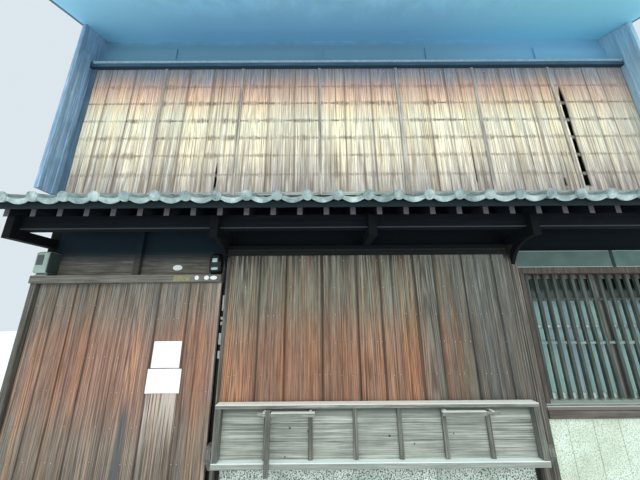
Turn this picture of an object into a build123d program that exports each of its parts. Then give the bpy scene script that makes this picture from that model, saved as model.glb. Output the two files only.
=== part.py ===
from build123d import *
import math
import os

os.makedirs("parts", exist_ok=True)

# A two-storey timber townhouse of a row, in millimetres. The street is at -Y, +Z is up,
# and the origin is on the ground in the middle of the footprint.

# The wall grid: half a ken between grid lines, seven modules wide and six deep
module = 909.0
front_modules = 7
depth_modules = 6
post_width = 105.0
half_width = front_modules * module / 2
half_depth = depth_modules * module / 2
outer_x = half_width + post_width / 2
inner_x = half_width - post_width / 2
post_front = -half_depth - post_width / 2
post_back = -half_depth + post_width / 2


def grid_x(index):
    return index * module - half_width


# Heights from the ground up. The boards over the entrance leave room for the meter, then for the
# bracket arms and the outrigger of the pent roof.
foundation_top = 90.0
threshold_height = 40.0
entrance_height = 1735.0
lintel_height = 73.0
terminal_height = 22.0
meter_height = 208.0
meter_head_gap = 52.0
arm_height = 90.0
outrigger_drop = 140.0
storey_beam_height = 250.0
upper_storey_height = 2100.0
wall_plate_height = 200.0
threshold_top = foundation_top + threshold_height
lintel_bottom = threshold_top + entrance_height
lintel_top = lintel_bottom + lintel_height
arm_bottom = lintel_top + terminal_height + meter_height + meter_head_gap
outrigger_bottom = arm_bottom + arm_height
storey_beam_bottom = outrigger_bottom + outrigger_drop
storey_beam_top = storey_beam_bottom + storey_beam_height
wall_plate_bottom = storey_beam_top + upper_storey_height
wall_plate_top = wall_plate_bottom + wall_plate_height

# Board doors and shutters hang in front of the posts, in two tracks at the entrance
board_thickness = 12.0
leaf_thickness = 30.0
track_gap = 5.0
board_plane = post_front - 2 * (leaf_thickness + track_gap)
upper_board_step = 36.0
upper_board_plane = board_plane - upper_board_step

# The posts at the bay lines, left to right: grid index, width and shift from the grid line
wide_post = 150.0
wide_post_shift = 27.5
post_lines = [(0, post_width, 0.0), (2, post_width, 0.0), (5, wide_post, wide_post_shift), (7, post_width, 0.0)]

# Cuts reach this far past the faces they open
cut_over = 1.0


def block(x_low, x_high, y_low, y_high, z_low, z_high):
    centre = ((x_low + x_high) / 2, (y_low + y_high) / 2, (z_low + z_high) / 2)
    return Pos(*centre) * Box(x_high - x_low, y_high - y_low, z_high - z_low)


def along_x(outline, x_low, x_high):
    # A side profile given as (y, z) points, drawn out along X
    points = [(x_low, y, z) for y, z in outline]
    face = make_face(Polyline(*points, close=True))
    return extrude(face, amount=x_high - x_low, dir=(1, 0, 0))


def save(name, *solids):
    shape = solids[0] if len(solids) == 1 else Compound(list(solids))
    export_step(shape, f"parts/{name}.step")


def to_rear(shape):
    return Rot(0, 0, 180) * shape


# Foundation and posts

plinth_out = 10.0
plinth_y = -board_plane + plinth_out
save("foundation", block(-outer_x, outer_x, -plinth_y, plinth_y, 0, foundation_top))


def post_row(z_low, z_high, front):
    row = []
    for index, width, shift in post_lines:
        centre_x = grid_x(index) + (shift if front else 0)
        size = width if front else post_width
        row.append(block(centre_x - size / 2, centre_x + size / 2, post_front, post_back, z_low, z_high))
    return row if front else [to_rear(post) for post in row]


entry_post_left = grid_x(2) - post_width / 2
entry_post_right = grid_x(2) + post_width / 2
shop_post_left = grid_x(5) + post_lines[2][2] - post_lines[2][1] / 2
shop_post_right = grid_x(5) + post_lines[2][2] + post_lines[2][1] / 2

# Shop opening: between strips that cover most of each post
stile_strip = 28.0
shop_post_cover = 32.0
stile_back_step = 5.0
stile_front = board_plane + stile_back_step
shop_left = entry_post_right - shop_post_cover
shop_right = -shop_left

# The wide post is thicker between the shop front and the window, up to the bracket's arm
front_posts = post_row(foundation_top, storey_beam_bottom, True)
front_posts[2] += block(shop_right + stile_strip, shop_post_right, stile_front, post_front,
                        foundation_top, arm_bottom)
save("ground_posts", *front_posts, *post_row(foundation_top, storey_beam_bottom, False))
save("upper_posts", *post_row(storey_beam_top, wall_plate_bottom, True),
     *post_row(storey_beam_top, wall_plate_bottom, False))

# Main roof lines: the underside of the rafters runs from the wall plate up to the ridge

roof_slope = 0.42
roof_angle = math.degrees(math.atan(roof_slope))
roof_eave_out = 1000.0
roof_eave_y = post_front - roof_eave_out
rafter_height = 90.0
rafter_width = 60.0
rafter_pitch = module / 2
deck_thickness = 18.0
soffit_thickness = 12.0
fascia_thickness = 24.0


def rafter_underside(y):
    return wall_plate_top + roof_slope * (half_depth - abs(y))


rafter_rise = rafter_height / math.cos(math.radians(roof_angle))
deck_rise = deck_thickness / math.cos(math.radians(roof_angle))


def deck_top(y):
    return rafter_underside(y) + rafter_rise + deck_rise


# Party walls with their gables

for name, x_low, x_high in (("party_wall_left", -outer_x, -inner_x), ("party_wall_right", inner_x, outer_x)):
    gable = [(post_back, foundation_top), (-post_back, foundation_top),
             (-post_back, rafter_underside(post_back)), (0, rafter_underside(0)),
             (post_back, rafter_underside(post_back))]
    save(name, along_x(gable, x_low, x_high))

# Storey beams and wall plates; a plate's top is planed to the slope of the rafters


def wall_plate():
    outline = [(post_front, wall_plate_bottom), (post_back, wall_plate_bottom),
               (post_back, rafter_underside(post_back)), (post_front, rafter_underside(post_front))]
    return along_x(outline, -outer_x, outer_x)


def storey_beam():
    return block(-outer_x, outer_x, post_front, post_back, storey_beam_bottom, storey_beam_top)


save("front_storey_beam", storey_beam())
save("front_wall_plate", wall_plate())
save("rear_beams", to_rear(storey_beam()), to_rear(wall_plate()))

# Upper floor: boards on joists that run from front to rear

floor_boards = 24.0
joist_width = 45.0
joist_height = 105.0
joist_pitch = module / 2
floor_parts = block(-inner_x, inner_x, post_back, -post_back, storey_beam_top - floor_boards, storey_beam_top)
joist_count = 2 * front_modules - 1
for index in range(joist_count):
    joist_x = (index - (joist_count - 1) / 2) * joist_pitch
    floor_parts += block(joist_x - joist_width / 2, joist_x + joist_width / 2, post_back, -post_back,
                         storey_beam_top - floor_boards - joist_height, storey_beam_top - floor_boards)
save("upper_floor", floor_parts)

# Entrance: two board doors that slide past each other in the grooves of lintel and threshold

lintel_out = 25.0
slide_gap = 5.0
runner_gap = 0.5
tongue = 12.0
groove_width = tongue + 4.0
groove_depth = 17.0
sill_groove_depth = 15.0
door_edge_gap = 38.0
jamb_cover = 58.0
entrance_left = -outer_x + jamb_cover
entrance_right = shop_left - stile_strip - door_edge_gap
door_overlap = 30.0
door_width = (entrance_right - entrance_left + door_overlap) / 2
track_centres = (board_plane + leaf_thickness / 2, board_plane + 1.5 * leaf_thickness + track_gap)
entrance_front = board_plane - lintel_out

lintel = block(-outer_x, entrance_right, entrance_front, post_front, lintel_bottom, lintel_top)
threshold = block(-outer_x, entrance_right, board_plane - plinth_out, post_front, foundation_top, threshold_top)
for centre_y in track_centres:
    lintel -= block(entrance_left, entrance_right + cut_over, centre_y - groove_width / 2,
                    centre_y + groove_width / 2, lintel_bottom - cut_over, lintel_bottom + groove_depth)
    threshold -= block(entrance_left, entrance_right + cut_over, centre_y - groove_width / 2,
                       centre_y + groove_width / 2, threshold_top - sill_groove_depth, threshold_top + cut_over)
save("entrance_lintel", lintel)
save("entrance_threshold", threshold)
save("entrance_jamb", block(-outer_x, entrance_left - slide_gap, board_plane, post_front,
                            threshold_top, lintel_bottom))

stile_width = 40.0
rail_height = 60.0
batten_height = 36.0


def board_leaf(width, height, batten_heights):
    # Boards in front, a frame of stiles, rails and battens behind them; front at y = 0, foot at z = 0
    frame_back = leaf_thickness
    leaf = block(-width / 2, width / 2, 0, board_thickness, 0, height)
    for side in (-1, 1):
        inner = side * (width / 2 - stile_width)
        outer = side * width / 2
        leaf += block(min(inner, outer), max(inner, outer), board_thickness, frame_back, 0, height)
    for z_low, z_high in [(0, rail_height), (height - rail_height, height)]:
        leaf += block(-width / 2, width / 2, board_thickness, frame_back, z_low, z_high)
    for batten_z in batten_heights:
        leaf += block(-width / 2, width / 2, board_thickness, frame_back,
                      batten_z - batten_height / 2, batten_z + batten_height / 2)
    return leaf


door_bottom = threshold_top + slide_gap
door_top = lintel_bottom - slide_gap
door_height = door_top - door_bottom
top_tongue = groove_depth
foot_tongue = sill_groove_depth + slide_gap - runner_gap
door_battens = [door_height * part / 6 for part in range(1, 6)]


def entrance_door(x_low, centre_y):
    leaf = board_leaf(door_width, door_height, door_battens)
    leaf = Pos(x_low + door_width / 2, centre_y - leaf_thickness / 2, door_bottom) * leaf
    leaf += block(x_low, x_low + door_width, centre_y - tongue / 2, centre_y + tongue / 2,
                  door_top, door_top + top_tongue)
    leaf += block(x_low, x_low + door_width, centre_y - tongue / 2, centre_y + tongue / 2,
                  door_bottom - foot_tongue, door_bottom)
    return leaf


save("entrance_door_left", entrance_door(entrance_left, track_centres[1]))
save("entrance_door_right", entrance_door(entrance_right - door_width, track_centres[0]))

# Boards over the entrance lintel with one strut on them, at the seam of the doors

transom_thickness = 25.0
strut_width = 60.0
strut_out = 45.0
transom = block(-inner_x, entry_post_left, post_front, post_front + transom_thickness,
                lintel_top, storey_beam_bottom)
transom += block(grid_x(1) - strut_width / 2, grid_x(1) + strut_width / 2, post_front - strut_out, post_front,
                 lintel_top, storey_beam_bottom)
save("entrance_transom", transom)

# Shop front: three board shutters between two stiles, under a grooved head beam

shop_head_height = 100.0
shop_head_top = arm_bottom
shop_head_bottom = shop_head_top - shop_head_height
shop_sill_bottom = 700.0
shop_sill_top = 790.0
shutter_gap = 2.0
shop_groove = 12.0
shop_head_out = 15.0

head = block(shop_left - stile_strip, shop_right + stile_strip, board_plane - shop_head_out, post_front,
             shop_head_bottom, shop_head_top)
head -= block(shop_left, shop_right, board_plane, board_plane + leaf_thickness,
              shop_head_bottom - cut_over, shop_head_bottom + shop_groove)
save("shop_head_beam", head)
stiles = []
for x_low in (shop_left - stile_strip, shop_right):
    stiles.append(block(x_low, x_low + stile_strip, stile_front, post_front, foundation_top, shop_head_bottom))
save("shop_stiles", *stiles)

shutter_width = (shop_right - shop_left) / 3 - shutter_gap
shutter_height = shop_head_bottom + shop_groove - shop_sill_top
shutter_battens = [shutter_height * part / 5 for part in range(1, 5)]
for index, name in enumerate(("left", "middle", "right")):
    centre_x = shop_left + (index + 0.5) * (shop_right - shop_left) / 3
    shutter = Pos(centre_x, board_plane, shop_sill_top) * board_leaf(shutter_width, shutter_height,
                                                                     shutter_battens)
    save(f"shop_shutter_{name}", shutter)

# Aprons and rendered base under the shop front and the window

window_left = shop_post_right
window_end_margin = 31.5
window_end = half_width - window_end_margin
apron_bottom = 698.0
apron_top = 760.0
apron_step = 8.0
shop_dado_step = 4.0
window_dado_step = 15.0
shop_dado_front = post_front + shop_dado_step
window_dado_front = board_plane + window_dado_step

shop_apron = block(shop_left, shop_right, board_plane + apron_step, post_front, shop_sill_bottom, shop_sill_top)
window_apron = block(window_left, outer_x, board_plane - apron_step, post_front, apron_bottom, apron_top)
save("apron_beams", shop_apron, window_apron)

shop_dado = block(entry_post_right, shop_post_left, shop_dado_front, post_back,
                  foundation_top, shop_sill_bottom)
window_dado = block(window_left, outer_x, window_dado_front, post_front, foundation_top, apron_bottom)
window_dado += block(window_left, inner_x, post_front, post_back, foundation_top, apron_bottom)
save("front_dado", shop_dado, window_dado)

# Window: a frame in the wall, an open lattice in front of two sashes and one sheet of glass

window_head_step = 8.0
window_head_height = 60.0
window_head_bottom = lintel_top - window_head_step
window_head_top = window_head_bottom + window_head_height
window_sill_height = 53.0
window_sill_top = apron_top + window_sill_height
jamb_width = 42.0
window_back = post_back
opening_left = window_left + jamb_width
opening_right = window_end - jamb_width

window_frame = block(window_left, window_end, board_plane, post_front, apron_top, window_head_top)
window_frame += block(window_left, inner_x, post_front, window_back, apron_bottom, window_head_top)
window_frame -= block(opening_left, opening_right, board_plane - cut_over, window_back + cut_over,
                      window_sill_top, window_head_bottom)
save("window_frame", window_frame)

lattice_set_back = 75.0
bar_width = 31.0
bar_depth = 30.0
bar_count = 17
cross_rail_rises = (479.0, 872.0)
cross_rail_height = 26.0
cross_rail_depth = 12.0
lattice_front = board_plane + lattice_set_back
lattice_gap = (opening_right - opening_left - bar_count * bar_width) / (bar_count + 1)
lattice = None
for index in range(bar_count):
    bar_left = opening_left + lattice_gap + index * (lattice_gap + bar_width)
    bar = block(bar_left, bar_left + bar_width, lattice_front, lattice_front + bar_depth,
                window_sill_top, window_head_bottom)
    lattice = bar if lattice is None else lattice + bar
for rail_rise in cross_rail_rises:
    rail_z = window_sill_top + rail_rise
    rail_front = lattice_front + (bar_depth - cross_rail_depth) / 2
    lattice += block(opening_left, opening_right, rail_front, rail_front + cross_rail_depth,
                     rail_z - cross_rail_height / 2, rail_z + cross_rail_height / 2)
save("window_lattice", lattice)

sash_thickness = 27.0
sash_stile = 42.0
sash_foot_rail = 50.0
sash_bar = 22.0
sash_bar_rise = 622.0
sash_bar_z = window_sill_top + sash_bar_rise
sash_set_back = 12.0
sash_meeting_gap = 1.0
sash_front = lattice_front + bar_depth + sash_set_back
glass_thickness = 4.0
sash_middle = (opening_left + opening_right) / 2
sashes = []
for x_low, x_high in ((opening_left, sash_middle - sash_meeting_gap / 2),
                      (sash_middle + sash_meeting_gap / 2, opening_right)):
    sash = block(x_low, x_high, sash_front, sash_front + sash_thickness, window_sill_top, window_head_bottom)
    cut_front, cut_back = sash_front - cut_over, sash_front + sash_thickness + cut_over
    sash -= block(x_low + sash_stile, x_high - sash_stile, cut_front, cut_back,
                  window_sill_top + sash_foot_rail, sash_bar_z - sash_bar / 2)
    sash -= block(x_low + sash_stile, x_high - sash_stile, cut_front, cut_back,
                  sash_bar_z + sash_bar / 2, window_head_bottom - sash_stile)
    sashes.append(sash)
save("window_sashes", *sashes)
glass_front = sash_front + sash_thickness
save("window_glass", block(opening_left, opening_right, glass_front, glass_front + glass_thickness,
                           window_sill_top, window_head_bottom))

# The pale strip of plaster over the window, with one divider

plaster_height = 165.0
plaster_step = 10.0
plaster_top = window_head_top + plaster_height
plaster_front = board_plane + plaster_step
divider_from_post = 949.0
divider_x = window_left + divider_from_post
divider_width = 28.0
divider_out = 6.0
strip = block(window_left, window_end, plaster_front, post_front, window_head_top, plaster_top)
strip += block(window_left, inner_x, post_front, post_back, window_head_top, plaster_top)
strip += block(divider_x - divider_width / 2, divider_x + divider_width / 2,
               plaster_front - divider_out, plaster_front, window_head_top, plaster_top)
save("window_plaster_strip", strip)

# Boards between the openings and the storey beam

head_board_thickness = 25.0
save("front_head_boards",
     block(entry_post_right, shop_post_left, post_front, post_front + head_board_thickness,
           shop_head_bottom, storey_beam_bottom),
     block(window_left, inner_x, post_front, post_front + head_board_thickness,
           plaster_top, storey_beam_bottom))

# Fold-down bench: frame with seven board fields, hinged in two lugs, one leg left of two

bench_end_gap = 10.0
bench_half = shop_right - bench_end_gap
bench_bottom = 401.0
bench_height = 449.0
bench_top = bench_bottom + bench_height
bench_depth = 88.0
bench_wall_gap = 11.0
bench_back = board_plane - bench_wall_gap
bench_front = bench_back - bench_depth
bench_top_rail = 30.0
bench_foot_rail = 44.0
bench_stile = 50.0
bench_field_thickness = 30.0
bench_fields = 7
bench_batten_width = 36.0
bench_batten_depth = 20.0
bench_pivot_in = 44.5
bench_pivot_rise = 109.0
bench_pivot_y = bench_back - bench_pivot_in
bench_pivot_z = bench_bottom + bench_pivot_rise
pin_radius = 12.0
pin_hold = 30.0
pin_length = bench_end_gap + pin_hold
pin_clearance = 0.5
lug_gap = 4.0

field_front = bench_back - bench_field_thickness
field_low = bench_bottom + bench_foot_rail
field_high = bench_top - bench_top_rail
field_half = bench_half - bench_stile

frame = block(-bench_half, bench_half, bench_front, bench_back, bench_bottom, field_low)
frame += block(-bench_half, bench_half, bench_front, bench_back, field_high, bench_top)
for side in (-1, 1):
    low = min(side * field_half, side * bench_half)
    frame += block(low, low + bench_stile, bench_front, bench_back, field_low, field_high)
    pin = Pos(side * (bench_half + pin_length / 2), bench_pivot_y, bench_pivot_z) * Rot(0, 90, 0)
    frame += pin * Cylinder(pin_radius, pin_length)
batten_pitch = 2 * field_half / bench_fields
batten_centres = [-field_half + (index + 1) * batten_pitch for index in range(bench_fields - 1)]
for centre_x in batten_centres:
    frame += block(centre_x - bench_batten_width / 2, centre_x + bench_batten_width / 2,
                   field_front - bench_batten_depth, field_front, field_low, field_high)
save("bench_frame", frame)

bench_board_count = 3
bench_board_gap = 2.0
board_pitch = (field_high - field_low) / bench_board_count
bench_boards = []
for index in range(bench_board_count):
    low = field_low + index * board_pitch
    high = low + board_pitch if index == bench_board_count - 1 else low + board_pitch - bench_board_gap
    bench_boards.append(block(-field_half, field_half, field_front, bench_back, low, high))
save("bench_boards", *bench_boards)

# Two bars carry the legs: each lies across a pair of battens and ends in a round tenon

axle_size = 31.0
axle_drop = 61.0
axle_z = bench_top - axle_drop
axle_front_gap = 7.0
tenon_radius = 11.0
tenon_out = 44.0
leg_width = 36.0
leg_side_gap = 5.5
bearing_width = 20.0
bearing_shift = 16.0
bearing_step = 4.0
axle_front = bench_front - axle_front_gap - axle_size
axle_centre_y = axle_front + axle_size / 2
batten_front = field_front - bench_batten_depth


def leg_axle(side):
    # Drawn for the left pair of battens (side -1) and mirrored for the right pair
    outer_batten = abs(batten_centres[0])
    inner_batten = abs(batten_centres[1])
    bearing_inner = outer_batten - bench_batten_width / 2 + bearing_shift
    leg_outer = bearing_inner - leg_side_gap
    leg_inner = leg_outer - leg_width
    body_end = inner_batten - bench_batten_width
    body = block(body_end, leg_inner - leg_side_gap, axle_front, axle_front + axle_size,
                 axle_z - axle_size / 2, axle_z + axle_size / 2)
    tenon_end = bearing_inner + bearing_width + tenon_out
    tenon = Pos((leg_inner - leg_side_gap + tenon_end) / 2, axle_centre_y, axle_z) * Rot(0, 90, 0)
    body += tenon * Cylinder(tenon_radius, tenon_end - leg_inner + leg_side_gap)
    body += block(bearing_inner, bearing_inner + bearing_width, axle_front + bearing_step, batten_front,
                  axle_z - axle_size / 2, axle_z + axle_size / 2)
    body += block(inner_batten - bearing_width / 2, inner_batten + bearing_width / 2,
                  axle_front + axle_size, batten_front, axle_z - axle_size / 2, axle_z + axle_size / 2)
    if side < 0:
        body = mirror(body, about=Plane.YZ)
    return body, (side * leg_outer if side < 0 else leg_inner, leg_width)


left_axle, left_leg_span = leg_axle(-1)
right_axle, _ = leg_axle(1)
save("bench_axles", left_axle, right_axle)

leg_head_radius = 33.5
leg_drop = 422.0
leg_low_x = left_leg_span[0]
leg = block(leg_low_x, leg_low_x + leg_width, axle_front, axle_front + axle_size,
            axle_z - leg_drop, axle_z + leg_head_radius)
bore = Pos(leg_low_x + leg_width / 2, axle_centre_y, axle_z) * Rot(0, 90, 0)
head_region = block(leg_low_x, leg_low_x + leg_width, axle_front, axle_front + axle_size,
                    axle_z, axle_z + leg_head_radius)
leg -= head_region - bore * Cylinder(leg_head_radius, leg_width)
leg -= bore * Cylinder(tenon_radius + pin_clearance, leg_width + 2 * cut_over)
save("bench_leg", leg)

# Hinge lugs: rounded cheeks on the stiles, each with a bore for the bench's pin

lug_radius = 40.0
lug_width = 48.0
lug_drop = 160.0
lugs = []
for side in (-1, 1):
    near = shop_right - lug_gap
    x_low = min(side * near, side * (near + lug_width))
    cheek = along_x([(stile_front, bench_pivot_z + lug_radius), (bench_pivot_y, bench_pivot_z + lug_radius),
                     (bench_pivot_y - lug_radius, bench_pivot_z),
                     (bench_pivot_y - lug_radius, bench_pivot_z - lug_radius),
                     (stile_front, bench_pivot_z - lug_drop)], x_low, x_low + lug_width)
    centre = Pos(x_low + lug_width / 2, bench_pivot_y, bench_pivot_z) * Rot(0, 90, 0)
    cheek += centre * Cylinder(lug_radius, lug_width)
    cheek -= centre * Cylinder(pin_radius + pin_clearance, lug_width + 2 * cut_over)
    lugs.append(cheek)
save("bench_lugs", *lugs)

# Street-side pent roof on an outrigger beam

pent_slope = 0.40
pent_angle = math.degrees(math.atan(pent_slope))
pent_eave_out = 528.0
pent_eave_y = board_plane - pent_eave_out
pent_eave_rise = 20.0
pent_eave_z = storey_beam_bottom + pent_eave_rise
pent_deck = 15.0
pent_rafter_width = 44.0
pent_rafter_height = 100.0
pent_rafter_pitch = module / 4
pent_rafter_shift = 48.0
pent_rafter_inset = 92.0
pent_rafter_end = pent_eave_y + pent_rafter_inset
pent_cos = math.cos(math.radians(pent_angle))


def pent_tile_underside(y):
    return pent_eave_z + pent_slope * (y - pent_eave_y)


def pent_rafter_top(y):
    return pent_tile_underside(y) - pent_deck / pent_cos


def pent_rafter_bottom(y):
    return pent_rafter_top(y) - pent_rafter_height / pent_cos


def pent_rafter_row():
    outline = [(pent_rafter_end, pent_rafter_bottom(pent_rafter_end)),
               (post_front, pent_rafter_bottom(post_front)),
               (post_front, pent_rafter_top(post_front)), (pent_rafter_end, pent_rafter_top(pent_rafter_end))]
    count = int(2 * outer_x / pent_rafter_pitch)
    row = []
    for index in range(count):
        centre_x = (index - count // 2) * pent_rafter_pitch + pent_rafter_shift
        row.append(along_x(outline, centre_x - pent_rafter_width / 2, centre_x + pent_rafter_width / 2))
    return row


pent_board_in = 30.0
pent_board_front = pent_eave_y + pent_board_in
pent_fascia_thickness = 18.0
pent_fascia_drop = 50.0


def pent_board_layer():
    fascia_back = pent_board_front + pent_fascia_thickness
    outline = [(pent_board_front, pent_tile_underside(pent_board_front)),
               (pent_board_front, pent_tile_underside(pent_board_front) - pent_fascia_drop),
               (fascia_back, pent_tile_underside(pent_board_front) - pent_fascia_drop),
               (fascia_back, pent_rafter_top(fascia_back)),
               (post_front, pent_rafter_top(post_front)), (post_front, pent_tile_underside(post_front))]
    return along_x(outline, -outer_x, outer_x)


outrigger_out = 250.0
outrigger_width = 90.0
outrigger_front = board_plane - outrigger_out - outrigger_width / 2


def outrigger_beam():
    y_high = outrigger_front + outrigger_width
    outline = [(outrigger_front, outrigger_bottom), (y_high, outrigger_bottom),
               (y_high, pent_rafter_bottom(y_high)), (outrigger_front, pent_rafter_bottom(outrigger_front))]
    return along_x(outline, -outer_x, outer_x)


# A bracket: an arm under the outrigger with a nose in front of it, some with a curved brace below
arm_width = 70.0
arm_out = 60.0
arm_end = outrigger_front - arm_out
brace_width = 36.0
brace_drop = 200.0
brace_foot = arm_bottom - brace_drop
brace_thickness = 70.0
brace_tip_in = 50.0
brace_sag = 40.0


def bracket(centre_x, braced, wall_y):
    outline = [(arm_end, arm_bottom), (post_front, arm_bottom), (post_front, outrigger_bottom),
               (outrigger_front, outrigger_bottom), (outrigger_front, pent_rafter_bottom(outrigger_front)),
               (arm_end, pent_rafter_bottom(arm_end))]
    shape = along_x(outline, centre_x - arm_width / 2, centre_x + arm_width / 2)
    if not braced:
        return shape
    x_low = centre_x - brace_width / 2
    tip = arm_end + brace_tip_in

    def at(y, z):
        return (x_low, y, z)

    middle_y = (tip + wall_y) / 2
    middle_z = (arm_bottom + brace_foot) / 2
    bow_y, bow_z = middle_y + brace_sag, middle_z + brace_sag
    lower = ThreePointArc(at(wall_y, brace_foot), at(bow_y, bow_z), at(tip, arm_bottom))
    upper = ThreePointArc(at(tip + brace_thickness, arm_bottom),
                          at(bow_y + brace_thickness * 0.7, bow_z + brace_thickness * 0.5),
                          at(wall_y, brace_foot + brace_thickness))
    edges = [lower, Line(at(tip, arm_bottom), at(tip + brace_thickness, arm_bottom)), upper,
             Line(at(wall_y, brace_foot + brace_thickness), at(wall_y, brace_foot))]
    face = make_face(Curve() + edges)
    return shape + extrude(face, amount=brace_width, dir=(1, 0, 0))


left_bracket_shift = -26.5
right_bracket_shift = 62.5
bracket_lines = [(grid_x(0), False, post_front), (grid_x(2) + left_bracket_shift, True, post_front),
                 (0.0, False, post_front), (grid_x(5) + right_bracket_shift, True, stile_front),
                 (grid_x(7), False, post_front)]
save("pent_brackets", *[bracket(*line) for line in bracket_lines])
save("pent_outrigger", outrigger_beam())
save("pent_rafters", *pent_rafter_row())
save("pent_boards", pent_board_layer())

# Tiles: one wavy layer a slope, a roll every 250 mm and a shallow trough between rolls. The street
# eave ends in a round disc on each roll and a curved lip that hangs under each trough.

tile_pitch = 250.0
roll_shift = -62.5
roll_half = 45.0
roll_height = 74.0
trough_height = 26.0
trough_edge = 42.0
disc_radius = 44.0
disc_centre = 47.0
disc_thickness = 22.0
disc_sides = 14
lip_thickness = 14.0
lip_inset = 16.0
lip_end = 19.0
lip_drop = 15.0


def trough(x_low, x_high, edge, depth, steps):
    # Points between two edges, deepest in the middle
    points = []
    for step in range(1, steps):
        share = step / steps
        points.append((x_low + (x_high - x_low) * share, edge - depth * 4 * share * (1 - share)))
    return points


def roll(centre_x, steps):
    points = []
    for step in range(steps + 1):
        turn = math.pi * step / steps
        points.append((centre_x - roll_half * math.cos(turn),
                       trough_edge + (roll_height - trough_edge) * math.sin(turn)))
    return points


def disc_outline(centre_x):
    turns = [2 * math.pi * (step + 0.5) / disc_sides for step in range(disc_sides)]
    return [(centre_x + disc_radius * math.cos(turn), disc_centre + disc_radius * math.sin(turn))
            for turn in turns]


def lip_outline(roll_x):
    # Under the trough to the right of a roll
    low, high = roll_x + roll_half - lip_inset, roll_x + tile_pitch - roll_half + lip_inset
    top = [(low, trough_edge)] + trough(low, high, trough_edge, trough_edge - trough_height, 4)
    foot = [(low, lip_end)] + trough(low, high, lip_end, lip_end + lip_drop, 4) + [(high, lip_end)]
    return top + [(high, trough_edge)] + foot[::-1]


def tile_layer(eave_y, eave_z, slope, length, steps, eaves):
    steep = math.atan(slope)
    up_slope = (0, math.cos(steep), math.sin(steep))
    plane = Plane(origin=(0, eave_y, eave_z), x_dir=(1, 0, 0), z_dir=(0, -up_slope[1], -up_slope[2]))
    last = int((outer_x - roll_half - roll_shift) // tile_pitch)
    first = -int((outer_x - roll_half + roll_shift) // tile_pitch)
    rolls = [roll_shift + index * tile_pitch for index in range(first, last + 1)]
    outline = [(-outer_x, 0), (-outer_x, trough_edge)]
    for index, roll_x in enumerate(rolls):
        if index > 0:
            outline += trough(rolls[index - 1] + roll_half, roll_x - roll_half, trough_edge,
                              trough_edge - trough_height, steps[1])
        outline += roll(roll_x, steps[0])
    outline += [(outer_x, trough_edge), (outer_x, 0)]
    layer = extrude(plane * make_face(Polyline(*outline, close=True)), amount=length, dir=up_slope)
    if eaves:
        outward = tuple(-part for part in up_slope)
        pieces = [(disc_outline(roll_x), disc_thickness) for roll_x in rolls]
        pieces += [(lip_outline(roll_x), lip_thickness) for roll_x in rolls[:-1]]
        for points, thickness in pieces:
            face = plane * make_face(Polyline(*points, close=True))
            layer += extrude(face, amount=thickness, dir=outward)
    return layer


tile_wall_gap = 0.5
pent_tile_end = board_plane - tile_wall_gap
pent_tile_length = (pent_tile_end - pent_eave_y) / pent_cos
save("pent_tiles", tile_layer(pent_eave_y, pent_eave_z, pent_slope, pent_tile_length, (5, 4), True))

# Upper storey: board shutters on a thin sill, cover strips on their seams, rail and wall above

strip_width = 32.0
strip_thickness = 12.0
strip_tile_gap = 8.0
strip_sill_lap = 2.0
sill_height = 38.0
shutter_height_upper = 1605.0
rail_height_upper = 90.0
strip_front = upper_board_plane - strip_thickness
strip_bottom = pent_tile_underside(strip_front) + roll_height / pent_cos + strip_tile_gap
sill_bottom = strip_bottom + strip_sill_lap
sill_top = sill_bottom + sill_height
shutter_top = sill_top + shutter_height_upper
rail_top = shutter_top + rail_height_upper
rail_out = 40.0
wing_thickness = 30.0
wing_in = 11.5
wing_inner = grid_x(7) - wing_in
wing_out = 210.0
panel_gap = 3.0
nail_row_rises = (200.0, 425.0, 645.0, 865.0, 1095.0, 1330.0, 1560.0)
rear_row_rises = nail_row_rises[1::2]


def upper_panels(row_rises, damaged):
    panels = []
    for index in range(front_modules):
        x_low = max(grid_x(index), -wing_inner) + panel_gap / 2
        x_high = min(grid_x(index + 1), wing_inner) - panel_gap / 2
        panel = board_leaf(x_high - x_low, shutter_height_upper, row_rises)
        panel = Pos((x_low + x_high) / 2, upper_board_plane, sill_top) * panel
        if damaged:
            for outline in board_losses.get(index, []):
                points = [(grid_x(index) + x, upper_board_plane - cut_over, sill_top + z) for x, z in outline]
                face = make_face(Polyline(*points, close=True))
                panel -= extrude(face, amount=board_thickness + cut_over, dir=(0, 1, 0))
        panels.append(panel)
    return panels


# Boards that are split or lost, by panel: outlines as (distance from the panel's left grid line,
# height over the sill)
board_losses = {
    1: [[(700, 40), (720, 36), (726, 170), (719, 328), (706, 250)]],
    4: [[(734, 100), (746, 96), (749, 390), (741, 612), (732, 360)]],
    5: [[(747, 50), (767, 48), (765, 142), (749, 135)], [(463, 290), (472, 286), (471, 542), (464, 510)]],
    6: [[(50, 42), (112, 38), (100, 630), (86, 1334), (66, 1328), (54, 690)]],
}

save("upper_sill", block(-wing_inner, wing_inner, upper_board_plane, post_front, sill_bottom, sill_top))
save("upper_shutters", *upper_panels(nail_row_rises, True))
cover_strips = []
for index in range(1, front_modules):
    centre_x = grid_x(index)
    cover_strips.append(block(centre_x - strip_width / 2, centre_x + strip_width / 2,
                              strip_front, upper_board_plane, strip_bottom, shutter_top))
save("upper_cover_strips", *cover_strips)
save("upper_head_rail", block(-wing_inner, wing_inner, upper_board_plane - rail_out, post_front,
                              shutter_top, rail_top))

stud_width = 60.0
stud_out = 20.0
head_wall_thickness = 25.0


def head_wall():
    wall = block(-wing_inner, wing_inner, post_front - head_wall_thickness, post_front,
                 rail_top, wall_plate_bottom)
    for index in (1, 3, 4.5, 6):
        wall += block(grid_x(index) - stud_width / 2, grid_x(index) + stud_width / 2,
                      post_front - head_wall_thickness - stud_out, post_front - head_wall_thickness,
                      rail_top, wall_plate_bottom)
    return wall


save("upper_head_wall", head_wall())

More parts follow.
